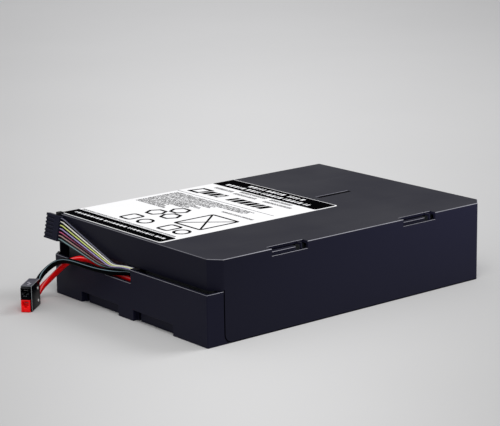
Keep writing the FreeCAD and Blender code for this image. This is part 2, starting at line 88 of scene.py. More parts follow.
class ShaderTree:
    """Places, fills and joins the nodes of one shader tree."""

    def __init__(self, tree: bpy.types.NodeTree) -> None:
        """Keep the tree and lay its nodes out in a row."""
        self.tree = tree
        self.column = 0

    def feed(self, node: bpy.types.Node, feeds: dict[str | int, Feed]) -> None:
        """Fill a node's inputs.

        Args:
            node: the node.
            feeds: for each input, a socket to join to it, or a number, vector or colour.
        """
        for label, value in feeds.items():
            target = node.inputs[label]
            if isinstance(value, Socket):
                self.tree.links.new(value, target)
            else:
                target.default_value = (*value, 1.0) if target.type == "RGBA" else value

    def add(self, kind: str, feeds: dict[str | int, Feed] | None = None, **values: object) -> bpy.types.Node:
        """Add a node.

        Args:
            kind: the node's type name.
            feeds: what its inputs get.
            values: its properties.

        Returns:
            The new node.
        """
        node = self.tree.nodes.new(kind)
        node.location = (self.column * 190.0, 0.0)
        self.column += 1
        for name, value in values.items():
            setattr(node, name, value)
        self.feed(node, feeds or {})
        return node

    def place(self) -> Socket:
        """Where each spot lies in its object's own space."""
        return self.add("ShaderNodeTexCoord").outputs["Object"]

    def mapped(self, vector: Socket, **values: Point) -> Socket:
        """A vector that is stretched or turned."""
        return self.add("ShaderNodeMapping", {"Vector": vector, **values}).outputs["Vector"]

    def parts(self, vector: Socket) -> tuple[Socket, ...]:
        """The three parts of a vector."""
        return tuple(self.add("ShaderNodeSeparateXYZ", {0: vector}).outputs)

    def facing(self) -> tuple[Socket, ...]:
        """The three parts of the direction that each spot faces."""
        return self.parts(self.add("ShaderNodeNewGeometry").outputs["Normal"])

    def noise(self, vector: Socket, scale: Feed, detail: float) -> Socket:
        """A soft random pattern from 0 to 1."""
        feeds = {"Vector": vector, "Scale": scale, "Detail": detail}
        return self.add("ShaderNodeTexNoise", feeds).outputs["Fac"]

    def math(self, operation: str, *operands: Feed) -> Socket:
        """The result of one operation on numbers or sockets."""
        return self.add("ShaderNodeMath", dict(enumerate(operands)), operation=operation).outputs[0]

    def times(self, *factors: Feed) -> Socket:
        """The product of several factors."""
        return reduce(lambda first, second: self.math("MULTIPLY", first, second), factors)

    def plus(self, *terms: Feed) -> Socket:
        """The sum of several terms."""
        return reduce(lambda first, second: self.math("ADD", first, second), terms)

    def span(self, value: Socket, low: float, high: float, to_low: float = 0.0,
             to_high: float = 1.0) -> Socket:
        """A value taken from one range to another, clamped."""
        ranges = {"From Min": low, "From Max": high, "To Min": to_low, "To Max": to_high}
        return self.add("ShaderNodeMapRange", {"Value": value, **ranges}).outputs["Result"]

    def blend(self, share: Socket, first: Feed, second: Feed) -> Socket:
        """Two colours mixed by a share."""
        return self.add("ShaderNodeMix", {0: share, 6: first, 7: second}, data_type="RGBA").outputs[2]

    def bump(self, height: Socket, strength: float, distance: float) -> Socket:
        """The normal of a surface that a height pattern raises."""
        feeds = {"Height": height, "Strength": strength, "Distance": distance}
        return self.add("ShaderNodeBump", feeds).outputs["Normal"]

    def effect(self, tree: bpy.types.NodeTree, **values: float) -> bpy.types.NodeOutputs:
        """The outputs of a shared effect that is placed with its own values."""
        feeds = {label.replace("_", " "): value for label, value in values.items()}
        return self.add("ShaderNodeGroup", feeds, node_tree=tree).outputs


class EffectGroup(ShaderTree):
    """A shader node group whose named inputs and outputs are numbers."""

    def __init__(self, name: str, inputs: dict[str, float], *outputs: str) -> None:
        """Open the group with its two end nodes.

        Args:
            name: the group's name.
            inputs: each input's name and default.
            outputs: the outputs' names.
        """
        super().__init__(bpy.data.node_groups.new(name, "ShaderNodeTree"))
        sockets = self.tree.interface
        for label, default in inputs.items():
            socket = sockets.new_socket(label, in_out="INPUT", socket_type="NodeSocketFloat")
            socket.default_value = default
        for label in outputs:
            sockets.new_socket(label, in_out="OUTPUT", socket_type="NodeSocketFloat")
        self.given = self.add("NodeGroupInput").outputs
        self.end = self.add("NodeGroupOutput")

    def close(self, **results: Socket) -> bpy.types.NodeTree:
        """Lead the results out of the group and return it."""
        self.feed(self.end, results)
        return self.tree


class Effects:
    """The effects that several finishes share, each built once as a node group."""

    @staticmethod
    @cache
    def grain() -> bpy.types.NodeTree:
        """Moulding texture: a fine spark-eroded grain and a slow change of shade.

        Returns:
            The group.
        """
        group = EffectGroup("moulding grain", {"Scale": 1600.0, "Slow Scale": 9.0}, "Height", "Shade")
        place = group.place()
        fine = group.noise(place, group.given["Scale"], detail=4.0)
        slow = group.noise(place, group.given["Slow Scale"], detail=2.0)
        return group.close(Height=fine, Shade=group.span(slow, 0.3, 0.7))

    @staticmethod
    @cache
    def dust() -> bpy.types.NodeTree:
        """Thin dust that lies on faces which look up, in soft patches.

        Returns:
            The group.
        """
        group = EffectGroup("settled dust", {"Amount": 0.2, "Scale": 30.0}, "Mask")
        patches = group.span(group.noise(group.place(), group.given["Scale"], detail=6.0), 0.35, 0.75)
        upward = group.span(group.facing()[2], 0.2, 1.0)
        return group.close(Mask=group.times(patches, upward, group.given["Amount"]))

    @staticmethod
    @cache
    def scuffs() -> bpy.types.NodeTree:
        """Faint rubbed streaks along the length of a piece.

        Returns:
            The group.
        """
        group = EffectGroup("rubbed streaks", {"Amount": 0.1, "Scale": 18.0}, "Mask")
        drawn_out = group.mapped(group.place(), Scale=(6.0, 0.6, 6.0))
        thin = group.span(group.noise(drawn_out, group.given["Scale"], detail=8.0), 0.58, 0.72)
        return group.close(Mask=group.times(thin, group.given["Amount"]))

    @staticmethod
    @cache
    def edges() -> bpy.types.NodeTree:
        """Painted highlight on edges that are rounded towards the top, uneven along their length.

        Returns:
            The group.
        """
        inputs = {"Amount": 0.5, "Scale": 24.0, "Dull Slope": 2.0, "Front": 1.0}
        group = EffectGroup("painted edge highlight", inputs, "Mask")
        _, back, up = group.facing()
        rise = group.span(up, 0.2, 0.45)
        fall = group.span(up, 0.82, 0.93, 1.0, 0.0)
        apart = group.math("ABSOLUTE", group.math("SUBTRACT", up, group.given["Dull Slope"]))
        off_slope = group.span(apart, 0.01, 0.02)
        ahead = group.span(back, -0.8, -0.4, 1.0, 0.0)
        duller = group.times(ahead, group.math("SUBTRACT", 1.0, group.given["Front"]))
        kept = group.math("SUBTRACT", 1.0, duller)
        drift = group.noise(group.place(), group.given["Scale"], detail=2.0)
        uneven = group.span(drift, 0.3, 0.65, 0.55, 1.0)
        return group.close(Mask=group.times(rise, fall, off_slope, kept, uneven, group.given["Amount"]))

    @staticmethod
    @cache
    def painted_rear_gradient() -> bpy.types.NodeTree:
        """Painted light on upright plastic: lighter towards one end of the case and towards its rim.

        Returns:
            The group.
        """
        group = EffectGroup("painted rear light gradient", {"Start": -0.16, "End": 0.16, "Height": 0.07}, "Mask")
        _, back, up = group.parts(group.place())
        run = group.math("SUBTRACT", group.given["End"], group.given["Start"])
        along = group.math("DIVIDE", group.math("SUBTRACT", back, group.given["Start"]), run)
        rim = group.plus(group.times(group.math("DIVIDE", up, group.given["Height"]), 0.6), 0.4)
        upright = group.span(group.facing()[2], 0.1, 0.9, 1.0, 0.0)
        return group.close(Mask=group.span(group.times(rim, upright, along), 0.0, 1.0))


# ---- finishes


class Finish:
    """What every finish can do: make its material once and give it to pieces."""

    name: str
    roughness: float
    wander: Pair

    @cache
    def material(self) -> bpy.types.Material:
        """Make the material the first time it is asked for.

        Returns:
            The material.
        """
        material = bpy.data.materials.new(self.name)
        material.use_nodes = True
        material.node_tree.nodes.clear()
        bench = ShaderTree(material.node_tree)
        shader = bench.add("ShaderNodeBsdfPrincipled", self.feeds(bench))
        bench.add("ShaderNodeOutputMaterial", {"Surface": shader.outputs["BSDF"]})
        return material

    def feeds(self, bench: ShaderTree) -> dict[str, Feed]:
        """Make the pattern nodes and say what each input of the shader gets."""
        raise NotImplementedError

    def wandering(self, bench: ShaderTree, value: Socket, low: float = 0.3, high: float = 0.7) -> Socket:
        """A roughness that wanders about the finish's own as a pattern rises."""
        less, more = self.wander
        return bench.span(value, low, high, self.roughness - less, self.roughness + more)

    def dress(self, piece: Piece) -> None:
        """Give the finish to a piece as its one material."""
        piece.data.materials.clear()
        piece.data.materials.append(self.material())


@dataclass(frozen=True)
class MouldedPlastic(Finish):
    """Moulded plastic with grain, slow shade changes, rubbed streaks, a little dust, a painted edge
    highlight and painted light towards one end.
    """

    name: str
    colour: Colour
    roughness: float = 0.5
    lighter: float = 1.25
    wander: Pair = (0.04, 0.05)
    grain: float = 1600.0
    slow: float = 11.0
    depth: float = 0.12
    height: float = 0.00006
    dust: float = 0.05
    dust_scale: float = 38.0
    dust_colour: Colour = linear(150, 148, 145)
    streaks: float = 0.15
    streak_scale: float = 22.0
    streak_polish: float = -0.25
    specular: float = 0.5
    # painted edge highlight: its amount, scale and colour, the slope it leaves out and how much front edges
    # keep
    edge: float = 0.0
    edge_scale: float = 24.0
    edge_highlight_colour: Colour = (0.3, 0.3, 0.34)
    dull_slope: float = 2.0
    front_edge: float = 1.0
    # painted light: how much lighter the upright faces get towards the rear end and the top
    painted_rear_light: float = 1.0

    def feeds(self, bench: ShaderTree) -> dict[str, Feed]:
        """Lay the shared effects over the colour, one after the other.

        Args:
            bench: the material's tree.

        Returns:
            What each input of the shader gets.
        """
        grain = bench.effect(Effects.grain(), Scale=self.grain, Slow_Scale=self.slow)
        streaks = bench.effect(Effects.scuffs(), Amount=self.streaks, Scale=self.streak_scale)["Mask"]
        dust = bench.effect(Effects.dust(), Amount=self.dust, Scale=self.dust_scale)["Mask"]
        edges = bench.effect(Effects.edges(), Amount=self.edge, Scale=self.edge_scale,
                             Dull_Slope=self.dull_slope, Front=self.front_edge)["Mask"]
        colour = self.colour
        # grain tone, painted rear light, rubbed streaks, dust, then the painted edge highlight
        for mask, over in (
                (grain["Shade"], scaled(self.colour, self.lighter)),
                (bench.effect(Effects.painted_rear_gradient())["Mask"], scaled(self.colour, self.painted_rear_light)),
                (streaks, scaled(self.colour, 1.8, 0.004)),
                (dust, self.dust_colour),
                (edges, self.edge_highlight_colour)):
            colour = bench.blend(mask, colour, over)
        rough = self.wandering(bench, grain["Shade"], 0.0, 1.0)
        return {"Base Color": colour,
                "Roughness": bench.plus(rough, bench.times(streaks, self.streak_polish)),
                "Specular IOR Level": self.specular,
                "Normal": bench.bump(grain["Height"], self.depth, self.height)}


@dataclass(frozen=True)
class WireSleeve(Finish):
    """Soft wire insulation with a painted highlight band along its upper side and painted shade on its
    underside.
    """

    name: str
    colour: Colour
    roughness: float = 0.38
    drift: float = 0.85
    specular: float = 0.3
    # painted highlight along the upper side: its share and its colour
    highlight_share: float = 0.25
    highlight_colour: Colour = (0.9, 0.9, 0.92)
    # painted shade underneath: how strong, how dark and over which facing it falls
    underside_shade: float = 0.6
    underside_shade_factor: float = 0.12
    under: Pair = (-0.1, 0.4)
    # facing range where the painted highlight band rises and falls
    line: tuple[float, float, float, float] = (0.45, 0.6, 0.64, 0.78)
    slow_scale: float = 60.0
    fine_scale: float = 2400.0
    wander: Pair = (0.05, 0.08)
    relief: Pair = (0.08, 0.00004)

    def feeds(self, bench: ShaderTree) -> dict[str, Feed]:
        """Vary the sleeve by noise, and paint shade below and a highlight band above by how far each spot
        faces up.

        Args:
            bench: the material's tree.

        Returns:
            What each input of the shader gets.
        """
        place = bench.place()
        slow = bench.noise(place, self.slow_scale, detail=3.0)
        base = bench.blend(bench.span(slow, 0.35, 0.65), scaled(self.colour, self.drift), self.colour)
        up = bench.facing()[2]
        # painted shade on the lower side
        below = bench.span(up, *self.under, self.underside_shade, 0.0)
        shaded_below = bench.blend(below, base, scaled(self.colour, self.underside_shade_factor))
        # painted highlight band on the upper side
        rise = bench.span(up, *self.line[:2], 0.0, self.highlight_share)
        fall = bench.span(up, *self.line[2:], 1.0, 0.0)
        return {"Base Color": bench.blend(bench.times(rise, fall), shaded_below, self.highlight_colour),
                "Roughness": self.wandering(bench, slow), "Specular IOR Level": self.specular,
                "Normal": bench.bump(bench.noise(place, self.fine_scale, detail=2.0), *self.relief)}


@dataclass(frozen=True)
class PlatedMetal(Finish):
    """Tinned or silvered metal with fine rolling marks and dull spots."""

    name: str
    colour: Colour
    roughness: float = 0.28
    mark_scale: float = 400.0
    spot_scale: float = 180.0
    spot_shade: float = 0.7
    wander: Pair = (0.08, 0.14)
    relief: Pair = (0.1, 0.00003)

    def feeds(self, bench: ShaderTree) -> dict[str, Feed]:
        """Draw the rolling marks from stretched noise.

        Args:
            bench: the material's tree.

        Returns:
            What each input of the shader gets.
        """
        place = bench.place()
        marks = bench.noise(bench.mapped(place, Scale=(1.0, 14.0, 1.0)), self.mark_scale, detail=3.0)
        spots = bench.span(bench.noise(place, self.spot_scale, detail=5.0), 0.45, 0.75)
        return {"Base Color": bench.blend(spots, self.colour, scaled(self.colour, self.spot_shade)),
                "Roughness": self.wandering(bench, marks), "Metallic": 1.0,
                "Normal": bench.bump(marks, *self.relief)}


@dataclass(frozen=True)
class PrintedFilm(Finish):
    """Satin plastic film, or ink on it, with a faint wave where it is stuck down."""

    name: str
    colour: Colour
    roughness: float = 0.42
    uneven: float = 0.97
    specular: float = 0.05
    cloud_scale: float = 45.0
    tooth_scale: float = 1900.0
    wave_scale: float = 22.0
    tooth_share: float = 0.06
    wander: Pair = (0.05, 0.07)
    relief: Pair = (0.1, 0.0004)

    def feeds(self, bench: ShaderTree) -> dict[str, Feed]:
        """Shade the film by a cloud and raise it by a slow wave and a fine tooth.

        Args:
            bench: the material's tree.

        Returns:
            What each input of the shader gets.
        """
        place = bench.place()
        cloud = bench.noise(place, self.cloud_scale, detail=5.0)
        tooth = bench.noise(place, self.tooth_scale, detail=2.0)
        wave = bench.noise(place, self.wave_scale, detail=1.0)
        height = bench.plus(bench.times(tooth, self.tooth_share), wave)
        shade = bench.span(cloud, 0.35, 0.7)
        return {"Base Color": bench.blend(shade, self.colour, scaled(self.colour, self.uneven)),
                "Roughness": self.wandering(bench, cloud), "Specular IOR Level": self.specular,
                "Normal": bench.bump(height, *self.relief)}


@dataclass(frozen=True)
class ClosedFoam(Finish):
    """Closed-cell foam strip."""

    name: str
    colour: Colour
    cell_scale: float = 900.0
    cell_shade: float = 1.7
    relief: Pair = (0.5, 0.0003)

    def feeds(self, bench: ShaderTree) -> dict[str, Feed]:
        """Draw small cells.

        Args:
            bench: the material's tree.

        Returns:
            What each input of the shader gets.
        """
        feeds = {"Vector": bench.place(), "Scale": self.cell_scale}
        cells = bench.add("ShaderNodeTexVoronoi", feeds).outputs["Distance"]
        return {"Base Color": bench.blend(cells, self.colour, scaled(self.colour, self.cell_shade)),
                "Roughness": 0.9, "Normal": bench.bump(cells, *self.relief)}


@dataclass(frozen=True)
class StudioFloor(Finish):
    """Pale seamless sweep with painted light: lighter towards its far end and darker to both sides."""

    name: str = "studio sweep"
    turn: float = -53.1
    near: float = -0.4
    far: float = 2.2
    near_level: float = 0.645
    far_level: float = 0.87
    side_fall: float = 1.4
    deepest: float = 0.45
    widening: float = 0.41
    near_width: float = 0.5
    least_width: float = 0.035
    off_middle: float = 0.045
    mottle: float = 0.01
    mottle_scale: float = 3.0

    def feeds(self, bench: ShaderTree) -> dict[str, Feed]:
        """Paint light and shade on the sweep by the place along and across it.

        Args:
            bench: the material's tree.

        Returns:
            What each input of the shader gets.
        """
        place = bench.place()
        turned = bench.mapped(place, Rotation=(0.0, 0.0, math.radians(self.turn)))
        side, along, _ = bench.parts(turned)
        level = bench.span(along, self.near, self.far, self.near_level, self.far_level)
        spread = bench.plus(bench.times(along, self.widening), self.near_width)
        width = bench.plus(bench.times(spread, spread), self.least_width)
        across = bench.plus(side, self.off_middle)
        aside = bench.math("DIVIDE", bench.times(across, across), width)
        levelled = bench.plus(bench.math("DIVIDE", aside, self.deepest), 1.0)
        fall = bench.times(bench.math("DIVIDE", aside, levelled), -self.side_fall)
        cloud = bench.noise(place, self.mottle_scale, detail=4.0)
        mottle = bench.span(cloud, 0.3, 0.7, -self.mottle, self.mottle)
        return {"Base Color": bench.times(level, bench.plus(fall, 1.0, mottle)), "Roughness": 0.9,
                "Specular IOR Level": 0.1}


# ---- modelling bench


class Axis(Enum):
    """The three directions of the frame."""

    X = 0
    Y = 1
    Z = 2


class Level(Enum):
    """The two heights at which ink lies."""

    FILM = 1
    OVERPRINT = 2


class Lay(Enum):
    """How a cord lies."""

    LOOSE = "loose"
    TAUT = "taut"


class Bench:
    """Modelling steps as done by hand, on one mesh at a time; sizes are in millimetres."""

    SHARP = math.radians(35.0)
    SMOOTH = math.radians(32.0)
    FACES_ONLY = (False, False, True)
    CORNERS_ONLY = (True, False, False)

    @staticmethod
    def clear() -> None:
        """Leave edit mode and deselect everything."""
        if bpy.context.object and bpy.context.object.mode != "OBJECT":
            bpy.ops.object.mode_set(mode="OBJECT")
        for item in bpy.context.selected_objects:
            item.select_set(False)

    @staticmethod
    def pick(piece: Piece) -> None:
        """Select one piece and make it the active one.

        Args:
            piece: the piece.
        """
        Bench.clear()
        piece.select_set(True)
        bpy.context.view_layer.objects.active = piece

    @staticmethod
    @contextmanager
    def editing(piece: Piece) -> Iterator[None]:
        """Keep a piece in edit mode for a few steps.

        Args:
            piece: the piece.

        Yields:
            Nothing, while the piece can be edited.
        """
        Bench.pick(piece)
        bpy.ops.object.mode_set(mode="EDIT")
        yield
        bpy.ops.object.mode_set(mode="OBJECT")

    @staticmethod
    def stood(name: str, data: bpy.types.ID) -> Piece:
        """Put a camera, lamp or curve into the scene.

        Args:
            name: its name.
            data: its data.

        Returns:
            The new object.
        """
        item = bpy.data.objects.new(name, data)
        bpy.context.scene.collection.objects.link(item)
        return item

    @staticmethod
    def settled(scale: Point = (1.0, 1.0, 1.0)) -> Piece:
        """Size the primitive just added and move its place into its mesh.

        Args:
            scale: its size in metres, for a primitive of size 1.

        Returns:
            The primitive.
        """
        piece = bpy.context.object
        piece.scale = scale
        bpy.ops.object.transform_apply(location=True, rotation=True, scale=True)
        return piece

    @staticmethod
    def block(name: str, low: Point, high: Point) -> Piece:
        """Add a cube primitive between two corners.

        Args:
            name: the piece's name.
            low: its lowest corner.
            high: its highest corner.

        Returns:
            The new piece, with its place in its mesh.
        """
        Bench.clear()
        middle = [(a + b) / 2 * MM for a, b in zip(low, high)]
        bpy.ops.mesh.primitive_cube_add(size=1.0, location=middle)
        bpy.context.object.name = name
        return Bench.settled([(b - a) * MM for a, b in zip(low, high)])

    @staticmethod
    def faces(test: Test) -> None:
        """Select faces.

        Args:
            test: what their centre and their normal have to pass.
        """
        data = bpy.context.edit_object.data
        mesh = bmesh.from_edit_mesh(data)
        bpy.context.tool_settings.mesh_select_mode = Bench.FACES_ONLY
        for face in mesh.faces:
            face.select_set(bool(test(face.calc_center_median() / MM, face.normal)))
        mesh.select_flush_mode()
        bmesh.update_edit_mesh(data)

    @staticmethod
    def corners(test: Callable[[Vector], bool]) -> None:
        """Select corners.

        Args:
            test: what their place has to pass.
        """
        bpy.context.tool_settings.mesh_select_mode = Bench.CORNERS_ONLY
        bpy.ops.mesh.select_all(action="DESELECT")
        data = bpy.context.edit_object.data
        for vertex in bmesh.from_edit_mesh(data).verts:
            vertex.select_set(bool(test(vertex.co / MM)))
        bmesh.update_edit_mesh(data)

    @staticmethod
    def cut(axis: Axis, *values: float) -> None:
        """Cut the whole mesh across an axis.

        Args:
            axis: the axis.
            values: where to cut.
        """
        normal = [float(axis is one) for one in Axis]
        for value in values:
            bpy.ops.mesh.select_all(action="SELECT")
            bpy.ops.mesh.bisect(plane_co=[part * value * MM for part in normal], plane_no=normal)

    @staticmethod
    def push(*amount: float) -> None:
        """Extrude the selected region by a vector."""
        move = {"value": tuple(value * MM for value in amount)}
        bpy.ops.mesh.extrude_region_move(TRANSFORM_OT_translate=move)

    @staticmethod
    def outward() -> None:
        """Turn every face of the mesh outwards."""
        bpy.ops.mesh.select_all(action="SELECT")
        bpy.ops.mesh.normals_make_consistent(inside=False)

    @staticmethod
    def rounded(piece: Piece, width: float, segments: int = 2) -> Piece:
        """Round the sharp edges and smooth the rest.

        Args:
            piece: the piece.
            width: how wide each edge is rounded.
            segments: how many steps a round has.

        Returns:
            The same piece.
        """
        Bench.pick(piece)
        bevel = piece.modifiers.new("edge", "BEVEL")
        bevel.width = width * MM
        bevel.segments = segments
        bevel.limit_method = "ANGLE"
        bevel.angle_limit = Bench.SHARP
        bevel.use_clamp_overlap = False
        bpy.ops.object.modifier_apply(modifier=bevel.name)
        bpy.ops.object.shade_smooth_by_angle(angle=Bench.SMOOTH)
        return piece

    @staticmethod
    def joined(name: str, pieces: list[Piece]) -> Piece:
        """Join pieces into the first one.

        Args:
            name: the whole's name.
            pieces: the pieces.

        Returns:
            The whole.
        """
        Bench.pick(pieces[0])
        for piece in pieces:
            piece.select_set(True)
        if len(pieces) > 1:
            bpy.ops.object.join()
        pieces[0].name = name
        return pieces[0]

    @staticmethod
    def moved(piece: Piece, place: Point, turn: float, axis: str) -> Piece:
        """Turn and move a finished piece in its mesh, so that its object stays at the origin.

        Args:
            piece: the piece.
            place: where its own origin goes.
            turn: how far it turns first, in degrees.
            axis: the letter of the axis that it turns about.

        Returns:
            The same piece.
        """
        spin = Matrix.Rotation(math.radians(turn), 4, axis)
        piece.data.transform(Matrix.Translation(Vector(place) * MM) @ spin)
        piece.data.update()
        return piece

    @staticmethod
    def fit(piece: Piece, slot: str, *nodes: str) -> Piece:
        """Let a piece stand for CAD nodes and ride on the body.

        Args:
            piece: the piece.
            slot: not used.
            nodes: the CAD nodes that it replaces.

        Returns:
            The same piece.
        """
        if nodes:
            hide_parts(*nodes)
        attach(piece, BODY)
        return piece


# ---- camera and stage


@dataclass(frozen=True)
class Lamp:
    """Square area lamp that points at a place; its places are in metres."""

    name: str
    place: Point
    aim: Point
    size: float
    power: float
    tint: Colour

    def build(self) -> None:
        """Set the lamp up."""
        data = bpy.data.lights.new(self.name, "AREA")
        data.shape = "SQUARE"
        data.size = self.size
        data.energy = self.power
        data.color = self.tint
        lamp = Bench.stood(self.name, data)
        lamp.location = self.place
        lamp.rotation_euler = (Vector(self.aim) - Vector(self.place)).to_track_quat("-Z", "Y").to_euler()


@dataclass
class Stage:
    """Camera, lamps, world and floor, in metres."""

    lens: float = 126.2155
    sensor: float = 36.0
    eye: Point = (1.18140, -0.97638, 0.43291)
    right: Point = (0.63113, 0.77552, -0.01573)
    up: Point = (-0.17080, 0.15873, 0.97244)
    back: Point = (0.75664, -0.61105, 0.23264)
    room_colour: Colour = (0.985, 0.985, 1.0)
    room_level: float = 0.5
    sweep_size: float = 40.0
    sweep_place: Point = (-9.0, 7.0, -0.0002)
    lamps: tuple[Lamp, ...] = (
        Lamp("key", (0.9, -0.6, 2.2), (0.0, 0.0, 0.0), 1.4, 24.0, (1.0, 0.995, 0.985)),
        Lamp("rim", (0.55, 1.45, 1.8), (0.0, 0.0, 0.05), 1.0, 20.0, (0.99, 0.99, 1.0)))

    def camera(self) -> None:
        """Stand the camera in front of the lead end's right corner."""
        data = bpy.data.cameras.new("camera")
        data.lens = self.lens
        data.sensor_width = self.sensor
        data.clip_end = 100.0
        camera = Bench.stood("camera", data)
        turn = Matrix((self.right, self.up, self.back)).transposed().to_4x4()
        camera.matrix_world = Matrix.Translation(self.eye) @ turn
        bpy.context.scene.camera = camera

    def world(self) -> None:
        """Light the room evenly, a little cool."""
        world = bpy.data.worlds.new("studio")
        bpy.context.scene.world = world
        world.use_nodes = True
        background = world.node_tree.nodes["Background"]
        background.inputs["Color"].default_value = (*self.room_colour, 1.0)
        background.inputs["Strength"].default_value = self.room_level

    def floor(self) -> None:
        """Lay the pale sweep."""
        Bench.clear()
        bpy.ops.mesh.primitive_grid_add(x_subdivisions=8, y_subdivisions=8, size=self.sweep_size,
                                        location=self.sweep_place)
        sweep = Bench.settled()
        sweep.name = "sweep"
        StudioFloor().dress(sweep)

    def build(self) -> None:
        """Set everything up."""
        bpy.context.scene.view_settings.view_transform = "Standard"
        self.camera()
        self.world()
        for lamp in self.lamps:
            lamp.build()
        self.floor()


# ---- cords


@dataclass
class Cord:
    """One free wire, as a smooth line through its route's points in millimetres."""

    name: str
    node: str
    slot: str
    points: list[Point]
    length: float
    diameter: float
    sleeve: WireSleeve
    lay: Lay

    def build(self, ends: list[Piece]) -> Piece:
        """Draw the wire and dress it.

        Args:
            ends: not used.

        Returns:
            The wire.
        """
        curve = bpy.data.curves.new(self.name, "CURVE")
        curve.dimensions = "3D"
        spline = curve.splines.new("NURBS")
        spline.points.add(len(self.points) - 1)
        for target, point in zip(spline.points, self.points):
            target.co = (*(value * MM for value in point), 1.0)
        spline.order_u = 3
        spline.use_endpoint_u = True
        spline.resolution_u = 14
        curve.bevel_depth = self.diameter / 2 * MM
        curve.bevel_resolution = 6
        curve.use_fill_caps = True
        piece = Bench.stood(self.name, curve)
        self.sleeve.dress(piece)
        Bench.fit(piece, self.slot, self.node)
        return piece


@dataclass
class PowerLeads:
    """The two heavy leads from the clamp to the stacked connector."""

    diameter: float = 5.0
    black: list[Point] = field(default_factory=lambda: [
        (5.0, -150.6, 37.4), (-5.0, -150.6, 37.4), (-16.0, -157.8, 36.6), (-29.0, -164.0, 37.0),
        (-45.0, -166.8, 37.6), (-62.0, -168.2, 38.2), (-76.0, -168.8, 37.4), (-87.4, -170.0, 34.4),
        (-95.0, -173.8, 29.2), (-98.4, -181.0, 22.2), (-95.64, -188.01, 16.5), (-90.0, -194.5, 16.5)])
    red: list[Point] = field(default_factory=lambda: [
        (5.0, -150.6, 31.8), (-8.0, -150.6, 31.8), (-20.0, -152.0, 32.4), (-33.0, -153.9, 34.6),
        (-46.0, -154.8, 37.6), (-57.5, -156.0, 39.2), (-67.4, -159.2, 39.5), (-76.0, -163.2, 36.6),
        (-84.4, -164.8, 31.6), (-92.2, -167.2, 24.6), (-98.4, -172.2, 16.8), (-100.2, -180.4, 10.0),
        (-96.04, -187.56, 5.5), (-90.0, -194.5, 5.5)])
    black_length: float = 134.0
    red_length: float = 144.0

    def build(self, ends: list[Piece]) -> list[Piece]:
        """Draw both leads.

        Args:
            ends: the pieces on their far ends.

        Returns:
            The leads.
        """
        # Each lead gets a painted highlight band along its top and painted shade underneath.
        black = WireSleeve("lead sleeve black", linear(5, 7, 9), 0.35, 0.85, specular=0.015, highlight_share=0.85,
                           highlight_colour=linear(150, 176, 186), line=(0.5, 0.58, 0.62, 0.7))
        red = WireSleeve("lead sleeve red", linear(255, 2, 8), 0.4, 0.95, specular=0.1, highlight_share=0.6,
                         highlight_colour=linear(255, 176, 176), underside_shade=0.35)
        plan = (("lead_black", "power_lead_black", self.black, self.black_length, black),
                ("lead_red", "power_lead_red", self.red, self.red_length, red))
        return [Cord(name, node, name, points, length, self.diameter, sleeve, Lay.LOOSE).build(ends)
                for name, node, points, length, sleeve in plan]


@dataclass
class SenseWires:
    """The thin wires that fan out from the clamp to the slim connector."""

    diameter: float = 1.5
    lengths: tuple[float, ...] = (113.6, 112.9, 112.3, 111.9, 111.2, 110.8, 110.6)
    colours: tuple[tuple[str, Colour], ...] = (
        ("grey_blue", linear(92, 92, 112)),
        ("white", linear(255, 253, 242)),
        ("pale_green", linear(226, 238, 128)),
        ("lavender", linear(172, 156, 212)),
        ("mauve", linear(204, 74, 124)),
        ("brown_pink", linear(190, 150, 146)),
        ("teal_grey", linear(118, 150, 154)))
    clamp: Pair = (5.0, -7.0)
    tips: Pair = (-101.0, -104.2)
    bends: tuple[tuple[Pair, Point, Point, Point, Pair], ...] = (
        ((-151.7, 42.9), (-19.0, -156.5, 42.2), (-31.35, -156.13, 46.04),
         (-97.95, -154.14, 66.76), (-154.05, 67.71)),
        ((-153.3, 42.9), (-19.0, -158.25, 41.95), (-31.53, -157.7, 45.42),
         (-97.92, -154.8, 63.82), (-154.66, 64.68)),
        ((-154.9, 42.9), (-19.0, -160.0, 41.7), (-31.7, -159.27, 44.79),
         (-97.9, -155.46, 60.88), (-155.28, 61.64)),
        ((-156.5, 42.9), (-19.0, -161.75, 41.45), (-31.87, -160.83, 44.14),
         (-97.88, -156.12, 57.95), (-155.9, 58.6)),
        ((-151.7, 41.2), (-33.0, -156.5, 39.8), (-58.79, -156.51, 45.78),
         (-97.88, -156.52, 54.84), (-156.52, 55.56)),
        ((-153.3, 41.2), (-33.0, -158.25, 38.9), (-59.05, -157.82, 44.12),
         (-97.86, -157.19, 51.9), (-157.14, 52.52)),
        ((-154.9, 41.2), (-33.0, -160.0, 38.0), (-59.3, -159.13, 42.44),
         (-97.85, -157.86, 48.95), (-157.75, 49.49)))

    def route(self, number: int) -> list[Point]:
        """The points of one wire's route, from the clamp to its tip.

        Args:
            number: the wire's number, from 0.

        Returns:
            The points.
        """
        start, *middle, end = self.bends[number]
        return [*((x, *start) for x in self.clamp), *middle, *((x, *end) for x in self.tips)]

    def build(self, ends: list[Piece]) -> list[Piece]:
        """Draw every wire.

        Args:
            ends: the pieces on their far ends.

        Returns:
            The wires.
        """
        wires = []
        for number, ((label, colour), length) in enumerate(zip(self.colours, self.lengths)):
            # Painted shade on each wire's lower side darkens the gaps between wires; a painted highlight
            # band runs along its top.
            sleeve = WireSleeve("wire sleeve " + label.replace("_", " "), colour, 0.4, 0.92, specular=0.06,
                                highlight_share=0.35, underside_shade=0.95, under=(0.22, 0.6))
            name = "wire_" + label
            wires.append(Cord(name, f"sense_wire_{number + 1}", name, self.route(number), length,
                              self.diameter, sleeve, Lay.TAUT).build(ends))
        return wires


# ---- connectors


